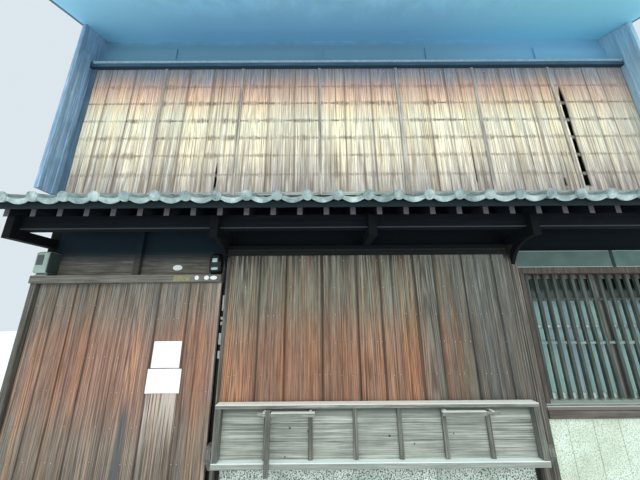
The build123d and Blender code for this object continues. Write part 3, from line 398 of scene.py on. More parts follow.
greyLooks = {
    "greyWoodAcross": [(104, 108, 100), (158, 164, 156), (206, 212, 204), (2.2, 90, 90)],
    "greyWoodUpright": [(80, 80, 74), (122, 123, 115), (166, 167, 156), (90, 90, 2.2)],
    "doorEdge": [(112, 94, 84), (150, 132, 120), (190, 174, 160), (90, 90, 2.2)],
    # benchRail bands: painted highlights on the upper faces of the axles, the top rail and the foot rail, and
    # the foot rail a little paler
    "benchRail": [(84, 88, 80), (128, 131, 121), (178, 180, 168), (2.4, 90, 90),
                  ("Z", 0.796, 0.804, (222, 228, 218), 1, 0.806), ("Z", 0.844, 0.849, (244, 246, 236)),
                  ("Z", 0.446, 0.445, (178, 188, 180), 0.35),
                  ("Z", 0.4375, 0.4435, (232, 244, 238), 1, 0.446)],
    "benchUpright": [(66, 68, 62), (108, 110, 101), (156, 158, 146), (90, 90, 2.4)],
    # benchBoards band: darker near the top as painted shadow under the top rail
    "benchBoards": [(84, 88, 82), (150, 154, 144), (206, 210, 198), (1.6, 90, 90),
                    ("Z", 0.72, 0.815, (92, 100, 93))],
    "beamWood": [(68, 66, 59), (110, 108, 99), (146, 144, 134), (2, 80, 80)],
    "apronWood": [(66, 61, 56), (100, 94, 87), (128, 123, 114), (2, 60, 60),
                  ("Z", 0.703, 0.699, (160, 164, 150))],
    # sillWood bands: paler top as painted highlight on its upper face; lower down a pale line with a darker
    # band beneath it
    "sillWood": [(72, 80, 74), (106, 116, 108), (142, 152, 142), (2, 60, 60),
                 ("Z", 0.806, 0.8115, (168, 180, 168)), ("Z", 0.7905, 0.7895, (116, 108, 100)),
                 ("Z", 0.789, 0.7892, (206, 208, 198), 1, 0.7935)],
    "jambWood": [(48, 44, 40), (82, 74, 68), (120, 110, 102), (90, 90, 2.2)],
    "latticeWood": [(40, 46, 43), (72, 80, 75), (112, 122, 114), (90, 90, 2.2),
                    ("Z", 0.835, 0.815, (140, 156, 146))],
    # the lower lattice rail's paler look is painted light on its lit top
    "latticeRail": [(84, 96, 92), (120, 138, 130), (164, 184, 174), (2.2, 90, 90)],
    "sashFoot": [(176, 190, 182), (212, 226, 218), (236, 246, 240), (2.2, 60, 60)],
    "sashWood": [(98, 94, 88), (142, 136, 128), (172, 166, 158), (90, 90, 2.2)],
    "sashEdge": [(170, 180, 172), (200, 210, 202), (226, 234, 228), (90, 90, 2.2)],
    # darkBeamWood: dark wood made near-black as painted shade under the pent roof; the fascia band is lighter
    # as painted light; the pale line on the outrigger's lower edge is partly wear, partly painted highlight
    "darkBeamWood": [(1, 6, 11), (5, 13, 19), (18, 27, 34), (2, 80, 80), ("Y", -3.322, -3.33, (34, 46, 51)),
                     ("Z", 2.3103, 2.3112, (66, 72, 80), 0.8, 2.321)],
    # rafterWood: near-black as painted shade under the pent roof; the pale band on the rafter ends is painted
    # light
    "rafterWood": [(4, 10, 15), (14, 21, 27), (32, 39, 46), (80, 2, 80),
                   ("Y", -3.282, -3.2845, (90, 88, 92))],
    # postFace band: darker top, painted shade under the pent roof
    "postFace": [(46, 44, 38), (92, 88, 80), (150, 146, 136), (95, 95, 1.4),
                 ("Z", 2.02, 2.14, (30, 31, 28))],
    "entranceJamb": [(52, 50, 45), (92, 90, 82), (128, 126, 116), (95, 95, 1.8)],
    # headBeam: a paler line, then near-black above it as painted shadow on the beam's upper part
    "headBeam": [(9, 12, 12), (18, 22, 21), (34, 38, 36), (2, 80, 80), ("Z", 2.168, 2.17, (36, 40, 39)),
                 ("Z", 2.177, 2.179, (4, 8, 12))],
    # bracketWood: near-black as painted shade under the pent roof
    "bracketWood": [(1, 4, 7), (4, 9, 13), (13, 19, 23), (60, 2, 60)],
    # darkPostWood band: near-black top, painted shade under the pent roof
    "darkPostWood": [(22, 23, 23), (44, 44, 42), (72, 71, 67), (80, 80, 2), ("Z", 2.05, 2.15, (6, 10, 13))],
    "headRail": [(52, 76, 92), (72, 98, 117), (94, 122, 142), (2, 80, 80), ("Z", 4.406, 4.4, (42, 62, 78))],
    "edgeTrim": [(62, 84, 101), (88, 114, 134), (114, 140, 160), (80, 80, 2)],
    "plasterStrip": [(78, 99, 93), (86, 108, 102), (98, 120, 114), (3, 3, 3),
                     ("Z", 1.9985, 1.9955, (182, 198, 190)), ("Z", 2.146, 2.15, (140, 158, 152)),
                     ("X", 2.4005, 2.4008, (44, 58, 55), 1, 2.4295)],
    "meterCase": [(146, 164, 152), (164, 182, 170), (184, 200, 188), (9, 9, 9),
                  ("X", -3.08, -3.073, (56, 70, 66))],
    # soffitWood: its bright blue is painted haze and sky light; darker towards the wall as painted shade and
    # brighter towards both sides as painted light; darker at the eave edge and both ends
    "soffitWood": [(142, 206, 248), (156, 220, 255), (172, 234, 255), (6, 0.8, 6),
                   ("Y", -3.72, -2.95, (148, 208, 243)), ("X", 0.3, 2.6, (162, 236, 255), 0.85),
                   ("X", -1.7, -2.9, (164, 228, 255), 0.8), ("Y", -3.58, -3.72, (96, 124, 144)),
                   ("X", 3.196, 3.204, (96, 124, 144)), ("X", -3.196, -3.204, (96, 124, 144))],
    # headWall: its blue is painted haze and sky light, brighter to the right as painted light; darker low
    # down and at both ends
    "headWall": [(121, 171, 190), (132, 182, 202), (142, 192, 212), (6, 6, 0.8),
                 ("Z", 4.985, 4.87, (119, 159, 178)), ("X", 0.3, 2.6, (142, 192, 220), 0.9),
                 ("X", 3.196, 3.204, (96, 124, 144)), ("X", -3.196, -3.204, (96, 124, 144))],
    "rearEave": [(66, 86, 100), (88, 112, 128), (114, 140, 156), (6, 0.8, 6)],
    # headBoards: dark blue tones as painted shade under the pent roof, near-black from the middle rightwards
    # as deeper painted shade
    "headBoards": [(8, 24, 31), (15, 37, 47), (28, 53, 64), (2, 80, 80),
                   ("X", -1.46, -1.32, (3, 10, 16), 0.88)],
    # wingWood: its blue is painted haze and sky light, lighter to the right as painted light; darker at both
    # outer ends
    "wingWood": [(104, 132, 155), (142, 174, 200), (188, 216, 238), (60, 60, 1.6),
                 ("X", 2.0, 2.5, (196, 228, 242), 0.55), ("X", -3.1975, -3.199, (88, 108, 124), 0.8),
                 ("X", 3.1975, 3.199, (88, 108, 124), 0.8)],
    # transomWood: the height band is painted shadow under the pent roof
    "transomWood": [(60, 56, 50), (98, 95, 86), (136, 134, 122), (2.4, 60, 60),
                    ("Y", -2.78, -2.7805, (58, 52, 46), 0.75), ("Z", 2.0, 2.2, (11, 30, 39))],
    "floorWood": [(96, 76, 54), (140, 114, 84), (170, 142, 108), (60, 1.8, 60)],
    "innerWood": [(84, 70, 54), (124, 106, 84), (152, 134, 108), (60, 60, 2)],
    # coverStrip band: grey-blue top, painted shade under the head rail
    "coverStrip": [(104, 97, 90), (168, 160, 148), (236, 230, 216), (58, 58, 1.6),
                   ("Z", 4.1, 4.42, (150, 152, 158))],
}
# looks without cracks, and looks with knots
smoothLooks = ("plasterStrip", "meterCase", "soffitWood", "headWall", "rearEave")
knotTones = {"benchBoards": (48, 48, 44)}


def greyMaterial(name, look):
    dark, middle, light, grain, *bands = look
    smooth = name in smoothLooks
    material, shader, place = startMaterial(name, *woodShine)
    axes = axesOf(place)
    seed = boardValue(material.node_tree, "boardSeed")
    shift = joined(times(seed, 3.1), times(seed, 5.3), times(seed, 7.7))
    moved = addNode(material.node_tree, "ShaderNodeVectorMath", {0: place, 1: shift}).outputs[0]
    streaks = noise(stretched(moved, grain), 1.0, 5.0, 0.62)
    fine = noise(stretched(moved, [3.4 * side for side in grain]), 1.0, 3.0, 0.6)
    value = scaled(streaks, 0.85, times(fine, 0.35))
    colour = ramp(value, [(0.38, shade(*dark)), (0.60, shade(*middle)), (0.82, shade(*light))])
    colour = toned(colour, between(noise(moved, 3.2, 3.0), 0.3, 0.72, 0.82, 1.12))
    # cracks along the grain
    crack = between(noise(stretched(moved, [0.9 * side for side in grain]), 1.6, 2.0), 0.335, 0.30)
    colour = blend(times(crack, 0.0 if smooth else 0.55), colour, shade(*dark))
    if name in knotTones:
        knots = addNode(material.node_tree, "ShaderNodeTexVoronoi", {"Vector": moved, "Scale": 7.0})
        mask = between(knots.outputs["Distance"], 0.085, 0.045, 0.0, 0.85)
        colour = blend(mask, colour, shade(*knotTones[name]))
    for axis, start, full, tone, *more in bands:
        mask = between(axes[axis], start, full, 0.0, more[0] if more else 1.0)
        if len(more) > 1:
            mask = times(mask, calc("LESS_THAN", axes[axis], more[1]))
        colour = blend(mask, colour, shade(*tone))
    height = calc("SUBTRACT", value, times(crack, 0.0 if smooth else 0.8))
    return painted(material, shader, colour, height, 0.0014, 0.2 if smooth else 0.8)


# Tiles, rendered walls, plain finishes and glass

tileLooks = {
    "smokedTile": {"clay": shade(130, 147, 146), "pale": shade(158, 174, 172), "shadow": shade(104, 120, 121),
                   "lichen": shade(150, 166, 154), "roughness": 0.62, "spread": 0.46},
    # eaveTile: paler than the field tiles as painted light on the eave tiles' street-facing fronts
    "eaveTile": {"clay": shade(154, 173, 171), "pale": shade(210, 224, 221), "shadow": shade(104, 122, 124),
                 "lichen": shade(168, 186, 175), "roughness": 0.50, "spread": 0.30},
}


def tileMaterial(name, look):
    material, shader, place = startMaterial(name, look["roughness"], 0.35)
    cloud = noise(place, 9.0, 5.0, 0.6)
    speck = noise(place, 70.0, 4.0, 0.65)
    colour = ramp(cloud, [(0.30, look["shadow"]), (0.50, look["clay"]), (0.72, look["pale"])])
    colour = blend(between(speck, 0.52, 0.66, 0.0, 0.6), colour, look["lichen"])
    seed = boardValue(material.node_tree, "boardSeed")
    colour = toned(colour, scaled(seed, look["spread"], 0.97 - look["spread"] / 2))
    return painted(material, shader, colour, scaled(speck, 0.5, cloud), 0.003, 0.5)


renderLooks = {
    "gravelRender": {"base": shade(190, 204, 190), "dots": shade(76, 89, 82), "light": shade(244, 252, 242),
                     "scale": 84.0, "share": 0.535, "depth": 0.005},
    "paleRender": {"base": shade(202, 212, 190), "dots": shade(160, 176, 158), "light": shade(232, 244, 228),
                   "scale": 96.0, "share": 0.52, "depth": 0.0020},
    "clayWall": {"base": shade(178, 168, 148), "dots": shade(150, 138, 118), "light": shade(194, 184, 164),
                 "scale": 120.0, "share": 0.40, "depth": 0.0012},
}


def renderMaterial(name, look):
    material, shader, place = startMaterial(name, 0.9, 0.2)
    grit = noise(place, look["scale"], 3.0, 0.7)
    damp = noise(stretched(place, (6.0, 6.0, 1.2)), 1.0, 4.0)
    colour = ramp(noise(place, 4.0, 4.0, 0.6), [(0.30, look["base"]), (0.70, look["light"])])
    colour = blend(between(grit, look["share"] - 0.02, look["share"] - 0.12), colour, look["dots"])
    colour = blend(between(damp, 0.55, 0.75, 0.0, 0.3), colour, look["dots"])
    return painted(material, shader, colour, grit, look["depth"], 0.9)


# colour, roughness, how much it is mottled and how fine
plainLooks = {
    "plinthStone": (shade(142, 140, 132), 0.9, 0.25, 18.0),
    "meterShadow": (shade(70, 82, 78), 0.35, 0.10, 30.0),
    "lampBlack": (shade(16, 17, 18), 0.35, 0.20, 30.0),
    "lampGlass": (shade(170, 190, 190), 0.15, 0.25, 26.0),
    "whitePaper": (shade(243, 246, 244), 0.8, 0.02, 12.0),
    "whitePlate": (shade(226, 232, 228), 0.4, 0.05, 30.0),
    "oldPlate": (shade(132, 128, 96), 0.6, 0.25, 60.0),
    "nailHead": (shade(196, 194, 184), 0.5, 0.2, 90.0),
    "poleWood": (shade(148, 176, 190), 0.5, 0.12, 20.0),
    "paleChip": (shade(188, 206, 218), 0.7, 0.15, 60.0),
}


def plainMaterial(name, look):
    colour, roughness, mottle, scale = look
    material, shader, place = startMaterial(name, roughness, 0.4)
    cloud = noise(place, scale, 4.0, 0.6)
    colour = toned(colour, between(cloud, 0.3, 0.7, 1.0 - mottle, 1.0 + mottle))
    return painted(material, shader, colour, cloud, 0.0006, 0.4)


glassLooks = {
    # pane and streak tones are painted reflection on greenish glass; deep is painted shade of the dark room
    "windowGlass": {"pane": shade(170, 214, 200), "cool": shade(160, 186, 198),
                    "streak": shade(204, 232, 220), "curtain": shade(96, 104, 98), "deep": shade(8, 12, 11),
                    "curtainFrom": 1.692, "deepFrom": (1.74, 1.80)},
}


def glassMaterial(name, look):
    # greenish panes made pale with streaks as painted reflection, a grey curtain behind their upper part, and
    # near-black above it as painted shade of the dark room
    material, shader, place = startMaterial(name, 0.12, 0.5)
    z = axesOf(place)["Z"]
    panes = noise(stretched(place, (9.0, 1.0, 1.4)), 1.0, 3.0)
    bands = noise(stretched(place, (60.0, 1.0, 2.2)), 1.0, 3.0)
    colour = ramp(panes, [(0.42, look["pane"]), (0.60, look["cool"])])
    colour = blend(between(bands, 0.50, 0.68, 0.0, 0.7), colour, look["streak"])
    above = look["curtainFrom"]
    colour = blend(between(z, above - 0.004, above + 0.004), colour, look["curtain"])
    ragged = scaled(bands, 0.08, calc("ADD", z, -0.04))
    colour = blend(between(ragged, *look["deepFrom"]), colour, look["deep"])
    material.node_tree.links.new(colour, shader.inputs["Base Color"])
    shader.inputs["Transmission Weight"].default_value = 0.10
    shader.inputs["IOR"].default_value = 1.45
    return material


finishes = {}
for make, looks in ((boardMaterial, woodLooks), (greyMaterial, greyLooks), (tileMaterial, tileLooks),
                    (renderMaterial, renderLooks), (plainMaterial, plainLooks), (glassMaterial, glassLooks)):
    finishes.update({name: make(name, look) for name, look in looks.items()})
print("materials made:", len(finishes))


# Board leaves: single boards in front, a frame of stiles, rails and battens behind

boardSettings = {"thickness": 0.012, "gap": 0.0022, "edgeBreak": 0.0016, "drift": 0.0009, "stepHeight": 0.16,
                 "backSet": 0.0005, "batten": 0.036, "stile": 0.040, "rail": 0.060,
                 "leafGap": 0.0015, "lift": (-0.0012, 0.0006), "grainShift": 0.05, "seed": 11}
module = 0.909
gridStart = -3.5 * module


def edgeAt(points, z):
    # straight runs between (height, place) points
    if z <= points[0][0]:
        return points[0][1]
    for (lowZ, lowX), (highZ, highX) in zip(points, points[1:]):
        if z <= highZ:
            return lowX + (highX - lowX) * (z - lowZ) / (highZ - lowZ)
    return points[-1][1]


def evenly(low, high, count):
    return [low + (high - low) * step / count for step in range(1, count)]


def addBoard(part, leftEdge, rightEdge, front, zLow, zHigh, dice, direction):
    # direction -1 faces the front, 1 faces the rear; edges are (height, x) points
    s = boardSettings
    brk, drift = s["edgeBreak"], s["drift"]
    heights = {zLow, zHigh, *evenly(zLow, zHigh, max(2, int((zHigh - zLow) / s["stepHeight"])))}
    for edge in (leftEdge, rightEdge):
        heights.update(z for z, _ in edge if zLow < z < zHigh)
    lift = dice.uniform(*s["lift"])
    rings = []
    for z in sorted(heights):
        left = edgeAt(leftEdge, z) + dice.uniform(-drift, drift) * 0.5
        right = edgeAt(rightEdge, z) + dice.uniform(-drift, drift) * 0.5
        face = front + direction * (lift + dice.uniform(-drift, drift) * 0.5)
        back = front - direction * (s["thickness"] - s["backSet"])
        side = face - direction * brk
        rings.append(faced([(left + brk, face, z), (right - brk, face, z), (right, side, z), (right, back, z),
                            (left, back, z), (left, side, z)], direction))
    across = faced([0.0, 1.0, 1.0, 1.0, 0.0, 0.0], direction) * len(rings)
    halfway = (zLow + zHigh) / 2
    centre = (edgeAt(leftEdge, halfway) + edgeAt(rightEdge, halfway)) / 2
    shift = s["grainShift"]
    addRings(part, rings, dice.random(), centre + dice.uniform(-shift, shift), 0, across)


def addLeaf(part, box, seams, battens, dice, direction=-1):
    # seams are x places, or pairs of edges (left side, right side) where a board is split or lost
    xLow, xHigh, yLow, yHigh, zLow, zHigh = box
    front, back = faced((yLow, yHigh), direction)
    s = boardSettings
    gap, half, stile, rail = s["gap"] / 2, s["batten"] / 2, s["stile"], s["rail"]
    left = [(zLow, xLow)]
    for seam in seams:
        right, after = ([(zLow, seam - gap)], [(zLow, seam + gap)]) if isinstance(seam, float) else seam
        addBoard(part, left, right, front, zLow, zHigh, dice, direction)
        left = after
    addBoard(part, left, [(zLow, xHigh)], front, zLow, zHigh, dice, direction)
    a, b = sorted((front - direction * s["thickness"], back))
    for low, high in ((xLow, xLow + stile), (xHigh - stile, xHigh)):
        addBlock(part, low, high, a, b, zLow, zHigh, 0.3, 1)
    for low, high, seed in [(zLow, zLow + rail, 0.4), (zHigh - rail, zHigh, 0.4),
                            *[(z - half, z + half, 0.5) for z in battens]]:
        addBlock(part, xLow + stile, xHigh - stile, a, b, low, high, seed, 1)


doorSettings = {"seams": {"entrance_door_left": (-2.98, -2.808, -2.594),
                          "entrance_door_right": (-1.98, -1.6975)},
                "footTongue": 0.0195, "headTongue": 0.017, "tongue": 0.012, "strip": 0.026,
                "stripOut": 0.004, "stripIn": 0.002}
s = doorSettings
for doorName, seams in s["seams"].items():
    xLow, xHigh, yLow, yHigh, zLow, zHigh = boxOf(doorName)
    low, high, middle = zLow + s["footTongue"], zHigh - s["headTongue"], (yLow + yHigh) / 2
    dice = random.Random(boardSettings["seed"] + len(doorName))
    part = newPart()
    addLeaf(part, (xLow, xHigh, yLow, yHigh, low, high), seams, evenly(low, high, 6), dice)
    for a, b in ((zLow, low), (high, zHigh)):
        addBlock(part, xLow, xHigh, middle - s["tongue"] / 2, middle + s["tongue"] / 2, a, b, 0.2, 1, 0.001)
    if doorName == "entrance_door_right":
        addBlock(part, xHigh - s["strip"], xHigh, yLow - s["stripOut"], yLow + s["stripIn"], low, high,
                 0.9, 2, 0.001)
    doorFinishes = ["doorBoards", "greyWoodUpright", "doorEdge"]
    buildPiece(doorName + "_boards", part, doorFinishes, [doorName], doorName)

shopSettings = {"shop_shutter_left": (-1.038, -0.7875), "shop_shutter_middle": (-0.1115, 0.107),
                "shop_shutter_right": (0.634, 0.916, 1.22)}
for shutterName, seams in shopSettings.items():
    box = boxOf(shutterName)
    dice = random.Random(boardSettings["seed"] + 5 * len(shutterName))
    part = newPart()
    addLeaf(part, box, seams, evenly(*box[4:], 5), dice)
    buildPiece(shutterName + "_boards", part, ["shopBoards", "greyWoodUpright"], [shutterName])

# upper shutters: seams by panel, as distances from the panel's left grid line; a split or a loss is a list of
# (height, left side, right side)
upperSeams = (
    (0.260, 0.548),
    (0.283, 0.565, [(2.79, 0.700, 0.716), (2.83, 0.699, 0.722), (2.92, 0.703, 0.727), (3.02, 0.704, 0.722),
                    (3.118, 0.711, 0.716), (3.13, 0.7115, 0.7125), (4.4, 0.7115, 0.7125)]),
    (0.325, 0.623),
    (0.290, 0.603),
    (0.341, 0.570, [(2.79, 0.7400, 0.7412), (2.885, 0.7400, 0.7412), (2.90, 0.735, 0.746),
                    (3.18, 0.734, 0.747), (3.402, 0.7395, 0.7420), (3.41, 0.7405, 0.7412),
                    (4.4, 0.7405, 0.7412)]),
    (0.321, [(2.79, 0.4675, 0.4685), (3.07, 0.4675, 0.4685), (3.09, 0.464, 0.472), (3.32, 0.464, 0.471),
             (3.34, 0.4675, 0.4685), (4.4, 0.4675, 0.4685)],
     0.595, [(2.79, 0.7560, 0.7568), (2.835, 0.7560, 0.7568), (2.84, 0.747, 0.767), (2.93, 0.749, 0.765),
             (2.935, 0.7560, 0.7568), (4.4, 0.7560, 0.7568)]),
    ([(2.79, 0.080, 0.082), (2.828, 0.079, 0.083), (2.834, 0.050, 0.112), (3.20, 0.053, 0.104),
      (3.48, 0.054, 0.098), (3.80, 0.048, 0.108), (3.95, 0.052, 0.104), (4.10, 0.070, 0.088),
      (4.124, 0.0755, 0.0770), (4.4, 0.0755, 0.0770)], 0.410, 0.595),
)
rearSettings = {"upperSeams": (0.34, 0.67), "leaves": 3, "gap": 0.002, "seams": (0.35, 0.66),
                "battens": (1.05, 1.32, 1.56, 1.81)}


def shiftSeam(seam, start):
    if isinstance(seam, float):
        return start + seam
    return [(z, start + left) for z, left, _ in seam], [(z, start + right) for z, _, right in seam]


def upperBoards(name, node, direction):
    xLow, xHigh, *rest = boxOf(node)
    rear = direction > 0
    dice = random.Random(boardSettings["seed"] + (70 if rear else 7))
    rows = [height for height, _ in woodLooks["shutterBoards"]["nailRows"]]
    gap = boardSettings["leafGap"]
    part = newPart()
    for index in range(7):
        start = gridStart + index * module
        left, right = max(start, xLow - gap) + gap, min(start + module, xHigh + gap) - gap
        seams = ([left + (right - left) * share for share in rearSettings["upperSeams"]] if rear
                 else [shiftSeam(seam, start) for seam in upperSeams[index]])
        addLeaf(part, (left, right, *rest), seams, rows[1::2] if rear else rows, dice, direction)
    buildPiece(name, part, ["shutterBoards", "greyWoodUpright"], [node])


upperBoards("upper_shutter_boards", "upper_shutters", -1)
upperBoards("rear_upper_shutter_boards", "rear_upper_shutters", 1)

xLow, xHigh, *rest = boxOf("rear_shutters")
s = rearSettings
dice = random.Random(boardSettings["seed"] + 31)
part = newPart()
for index in range(s["leaves"]):
    left = xLow + index * (xHigh - xLow + s["gap"]) / s["leaves"]
    right = left + (xHigh - xLow + s["gap"]) / s["leaves"] - s["gap"]
    seams = [left + (right - left) * share for share in s["seams"]]
    addLeaf(part, (left, right, *rest), seams, s["battens"], dice, 1)
buildPiece("rear_shutter_boards", part, ["shopBoards", "greyWoodUpright"], ["rear_shutters"])
print("boards made")


# Repeated pieces: one small mesh on many points, as a tree of geometry nodes

def scatterTree(name):
    tree = bpy.data.node_groups.new(name, "GeometryNodeTree")
    for label, kind in (("Points", "Geometry"), ("Piece", "Object"), ("Finish", "Material"),
                        ("Smallest", "Float"), ("Largest", "Float"), ("Tilt", "Float"), ("Seed", "Int")):
        tree.interface.new_socket(name=label, in_out="INPUT", socket_type="NodeSocket" + kind)
    tree.interface.new_socket(name="Result", in_out="OUTPUT", socket_type="NodeSocketGeometry")
    given = addNode(tree, "NodeGroupInput").outputs
    seed, tilt = given["Seed"], given["Tilt"]
    piece = addNode(tree, "GeometryNodeObjectInfo", {"Object": given["Piece"]}, transform_space="ORIGINAL")
    size = addNode(tree, "FunctionNodeRandomValue", {2: given["Smallest"], 3: given["Largest"], "Seed": seed},
                   data_type="FLOAT")
    turn = addNode(tree, "FunctionNodeRandomValue", {0: times(tilt, -1.0), 1: tilt, "Seed": seed},
                   data_type="FLOAT_VECTOR")
    tone = addNode(tree, "FunctionNodeRandomValue", {"Seed": seed}, data_type="FLOAT")
    placed = addNode(tree, "GeometryNodeInstanceOnPoints",
                     {"Points": given["Points"], "Instance": piece.outputs["Geometry"],
                      "Rotation": turn.outputs[0], "Scale": size.outputs[1]})
    stored = addNode(tree, "GeometryNodeStoreNamedAttribute",
                     {"Geometry": placed.outputs["Instances"], "Name": "boardSeed", "Value": tone.outputs[1]},
                     data_type="FLOAT", domain="INSTANCE")
    real = addNode(tree, "GeometryNodeRealizeInstances", {"Geometry": stored.outputs["Geometry"]}).outputs[0]
    coated = addNode(tree, "GeometryNodeSetMaterial", {"Geometry": real, "Material": given["Finish"]})
    addNode(tree, "NodeGroupOutput", {"Result": coated.outputs[0]})
    return tree


scatter = scatterTree("piecesOnPoints")


def placeOnPoints(name, source, points, finishName, settings, stands=(), body="house"):
    host = linked(name + "_points", meshFrom(name + "_points", {"verts": points, "faces": []}))
    modifier = host.modifiers.new("pieces", "NODES")
    modifier.node_group = scatter
    values = {key.capitalize(): settings[key] for key in ("smallest", "largest", "tilt", "seed")}
    values.update({"Piece": source, "Finish": finishes[finishName]})
    for item in scatter.interface.items_tree:
        if item.in_out == "INPUT" and item.name in values:
            modifier[item.identifier] = values[item.name]
    depsgraph = bpy.context.evaluated_depsgraph_get()
    mesh = bpy.data.meshes.new_from_object(host.evaluated_get(depsgraph), preserve_all_data_layers=True,
                                           depsgraph=depsgraph)
    host.modifiers.remove(modifier)
    bpy.data.objects.remove(host)
    mesh.name = name
    return placePiece(linked(name, mesh), body, stands)


# Roof tiles: wavy pan and roll in one, laid in courses from eave to ridge

tileSettings = {"pitch": 0.25, "rollShift": -0.0625, "exposure": 0.232, "overlap": 0.03, "thickness": 0.017,
                "lift": 0.015, "rollHalf": 0.045, "rollHeight": 0.062, "troughEdge": 0.032,
                "troughLow": 0.014, "discRadius": 0.044, "discCentre": 0.047, "discDepth": 0.022,
                "lipEnd": 0.019, "lipDrop": 0.034, "lipInset": 0.7,
                "lip": ((0.0, 0.0), (0.011, 0.0), (0.014, 0.0025)),
                "topGap": 0.05, "leastShow": 0.4, "eaveReach": 0.16, "sheetGap": 0.03, "sheetLift": 0.001,
                "sheetRise": 0.004, "rollFoot": 0.6, "rollLift": 0.8,
                "disc": ((0.0, 1.0), (0.8, 1.0), (1.0, 0.93), (0.86, 0.80), (1.08, 0.45), (1.15, 1 / 11)),
                "smallest": 0.997, "largest": 1.003, "tilt": 0.006, "seed": 5}


def sagAt(share):
    return 4 * share * (1 - share)


def troughAt(share):
    s = tileSettings
    return s["troughEdge"] - (s["troughEdge"] - s["troughLow"]) * sagAt(share)


def tileProfile():
    # (x, height) from one side of a roll across the trough to the far side of the roll
    s = tileSettings
    half, pitch, edge = s["rollHalf"], s["pitch"], s["troughEdge"]
    points = [(half + (pitch - 2 * half) * step / 6, troughAt(step / 6)) for step in range(7)]
    for step in range(1, 9):
        turn = math.pi * step / 8
        points.append((pitch - half * math.cos(turn), edge + (s["rollHeight"] - edge) * math.sin(turn)))
    return points


def slopePoint(slope, x, along, height, facing):
    # along runs up the slope from the eave, height stands off the deck; facing -1 is the front
    cosine = 1 / math.hypot(1, slope)
    sine = slope * cosine
    return (x, -facing * (along * cosine - height * sine), along * sine + height * cosine)


def tilePiece(name, slope, facing):
    s = tileSettings
    profile = tileProfile()
    # rows of points: front edge, just behind it, upper end, lower edge of the front, underside
    rows = ((0.0, s["lift"]), (0.012, s["lift"] + 0.001), (s["exposure"] + s["overlap"], 0.0),
            (0.001, s["lift"] - s["thickness"]), (0.10, -0.010))
    verts = [slopePoint(slope, x, along, height + lift, facing)
             for along, lift in rows for x, height in profile]
    faces = []
    count = len(profile)
    for low, high in ((0, 1), (1, 2), (3, 0), (4, 3)):
        for index in range(count - 1):
            a, b = low * count + index, high * count + index
            faces.append(faced([a, a + 1, b + 1, b], facing))
    return linked(name, meshFrom(name, {"verts": verts, "faces": faces}))


def eavePiece(name, slope, facing):
    # the eave tile's front: a round disc on the roll and a curved apron under the trough
    s = tileSettings
    part = newPart()
    rings = []
    for deep, share in s["disc"]:
        radius = s["discRadius"] * share
        ring = [slopePoint(slope, s["pitch"] + radius * c, -s["discDepth"] * deep,
                           s["discCentre"] + radius * h, facing) for c, h in circle(20)]
        rings.append(faced(ring, facing))
    addRings(part, rings)
    upper, lower = [], []
    inset = s["rollHalf"] * s["lipInset"]
    for step in range(9):
        share = step / 8
        x = inset + (s["pitch"] - 2 * inset) * share
        upper.append((x, troughAt(share) + s["lift"] + 0.001))
        lower.append((x, s["lipEnd"] - s["lipDrop"] * sagAt(share)))
    outline = upper + lower[::-1]
    middle = sum(height for _, height in outline) / len(outline)
    rings = []
    for forward, shrink in s["lip"]:
        ring = [slopePoint(slope, x, -forward, height + (shrink if height < middle else -shrink), facing)
                for x, height in outline]
        rings.append(faced(ring, -facing))
    addRings(part, rings)
    return linked(name, meshFrom(name, part))


def tilesOn(name, node, facing, slope, eaveY, eaveZ, length):
    s = tileSettings
    pitch, half = s["pitch"], s["rollHalf"]
    xLow, xHigh = boxOf(node)[:2]
    tile = tilePiece(name + "_tile", slope, facing)
    eave = eavePiece(name + "_eave", slope, facing)
    shift = -facing * s["rollShift"]
    first, last = math.ceil((xLow + half - shift) / pitch), math.floor((xHigh - half - shift) / pitch)
    rolls = [shift + index * pitch for index in range(first, last + 1)]
    count = int((length - s["topGap"]) / s["exposure"]) + 1
    courses = [course * s["exposure"] for course in range(count)]

    def onRoof(x, along, height=0.0):
        x, y, z = slopePoint(slope, x, along, height, facing)
        return x, y + facing * eaveY, z + eaveZ

    def addStrip(outline, direction):
        addRings(part, [faced([onRoof(x, along, height) for x, height in outline], direction)
                        for along in (0.0, length)])

    points = [onRoof(roll - pitch, along) for roll in rolls if roll - pitch >= xLow - 0.001
              for along in courses if along + s["exposure"] * s["leastShow"] <= length]
    placeOnPoints(name, tile, points, "smokedTile", s, [node])
    points = [onRoof(roll - pitch, 0.0) for roll in rolls if roll - pitch >= xLow - s["eaveReach"]]
    placeOnPoints(name + "_eaves", eave, points, "eaveTile", s)
    # the first trough beside the wall and the last one, as plain sheets under the tiles, and the first roll
    part = newPart()
    low, high = s["sheetLift"], s["troughEdge"] + s["sheetRise"]
    for a, b in ((xLow, rolls[0] - s["sheetGap"]), (rolls[-1] + s["sheetGap"], xHigh)):
        addStrip([(a, low), (b, low), (b, high), (a, high)], facing)
    foot = s["troughEdge"] * s["rollFoot"]
    rise = s["rollHeight"] - foot + s["lift"] * s["rollLift"]
    turns = [math.pi * step / 10 for step in range(11)]
    addStrip([(rolls[0] - half * math.cos(turn), foot + rise * math.sin(turn)) for turn in turns], -facing)
    buildPiece(name + "_edges", part, ["smokedTile"])
    bpy.data.objects.remove(tile)
    bpy.data.objects.remove(eave)


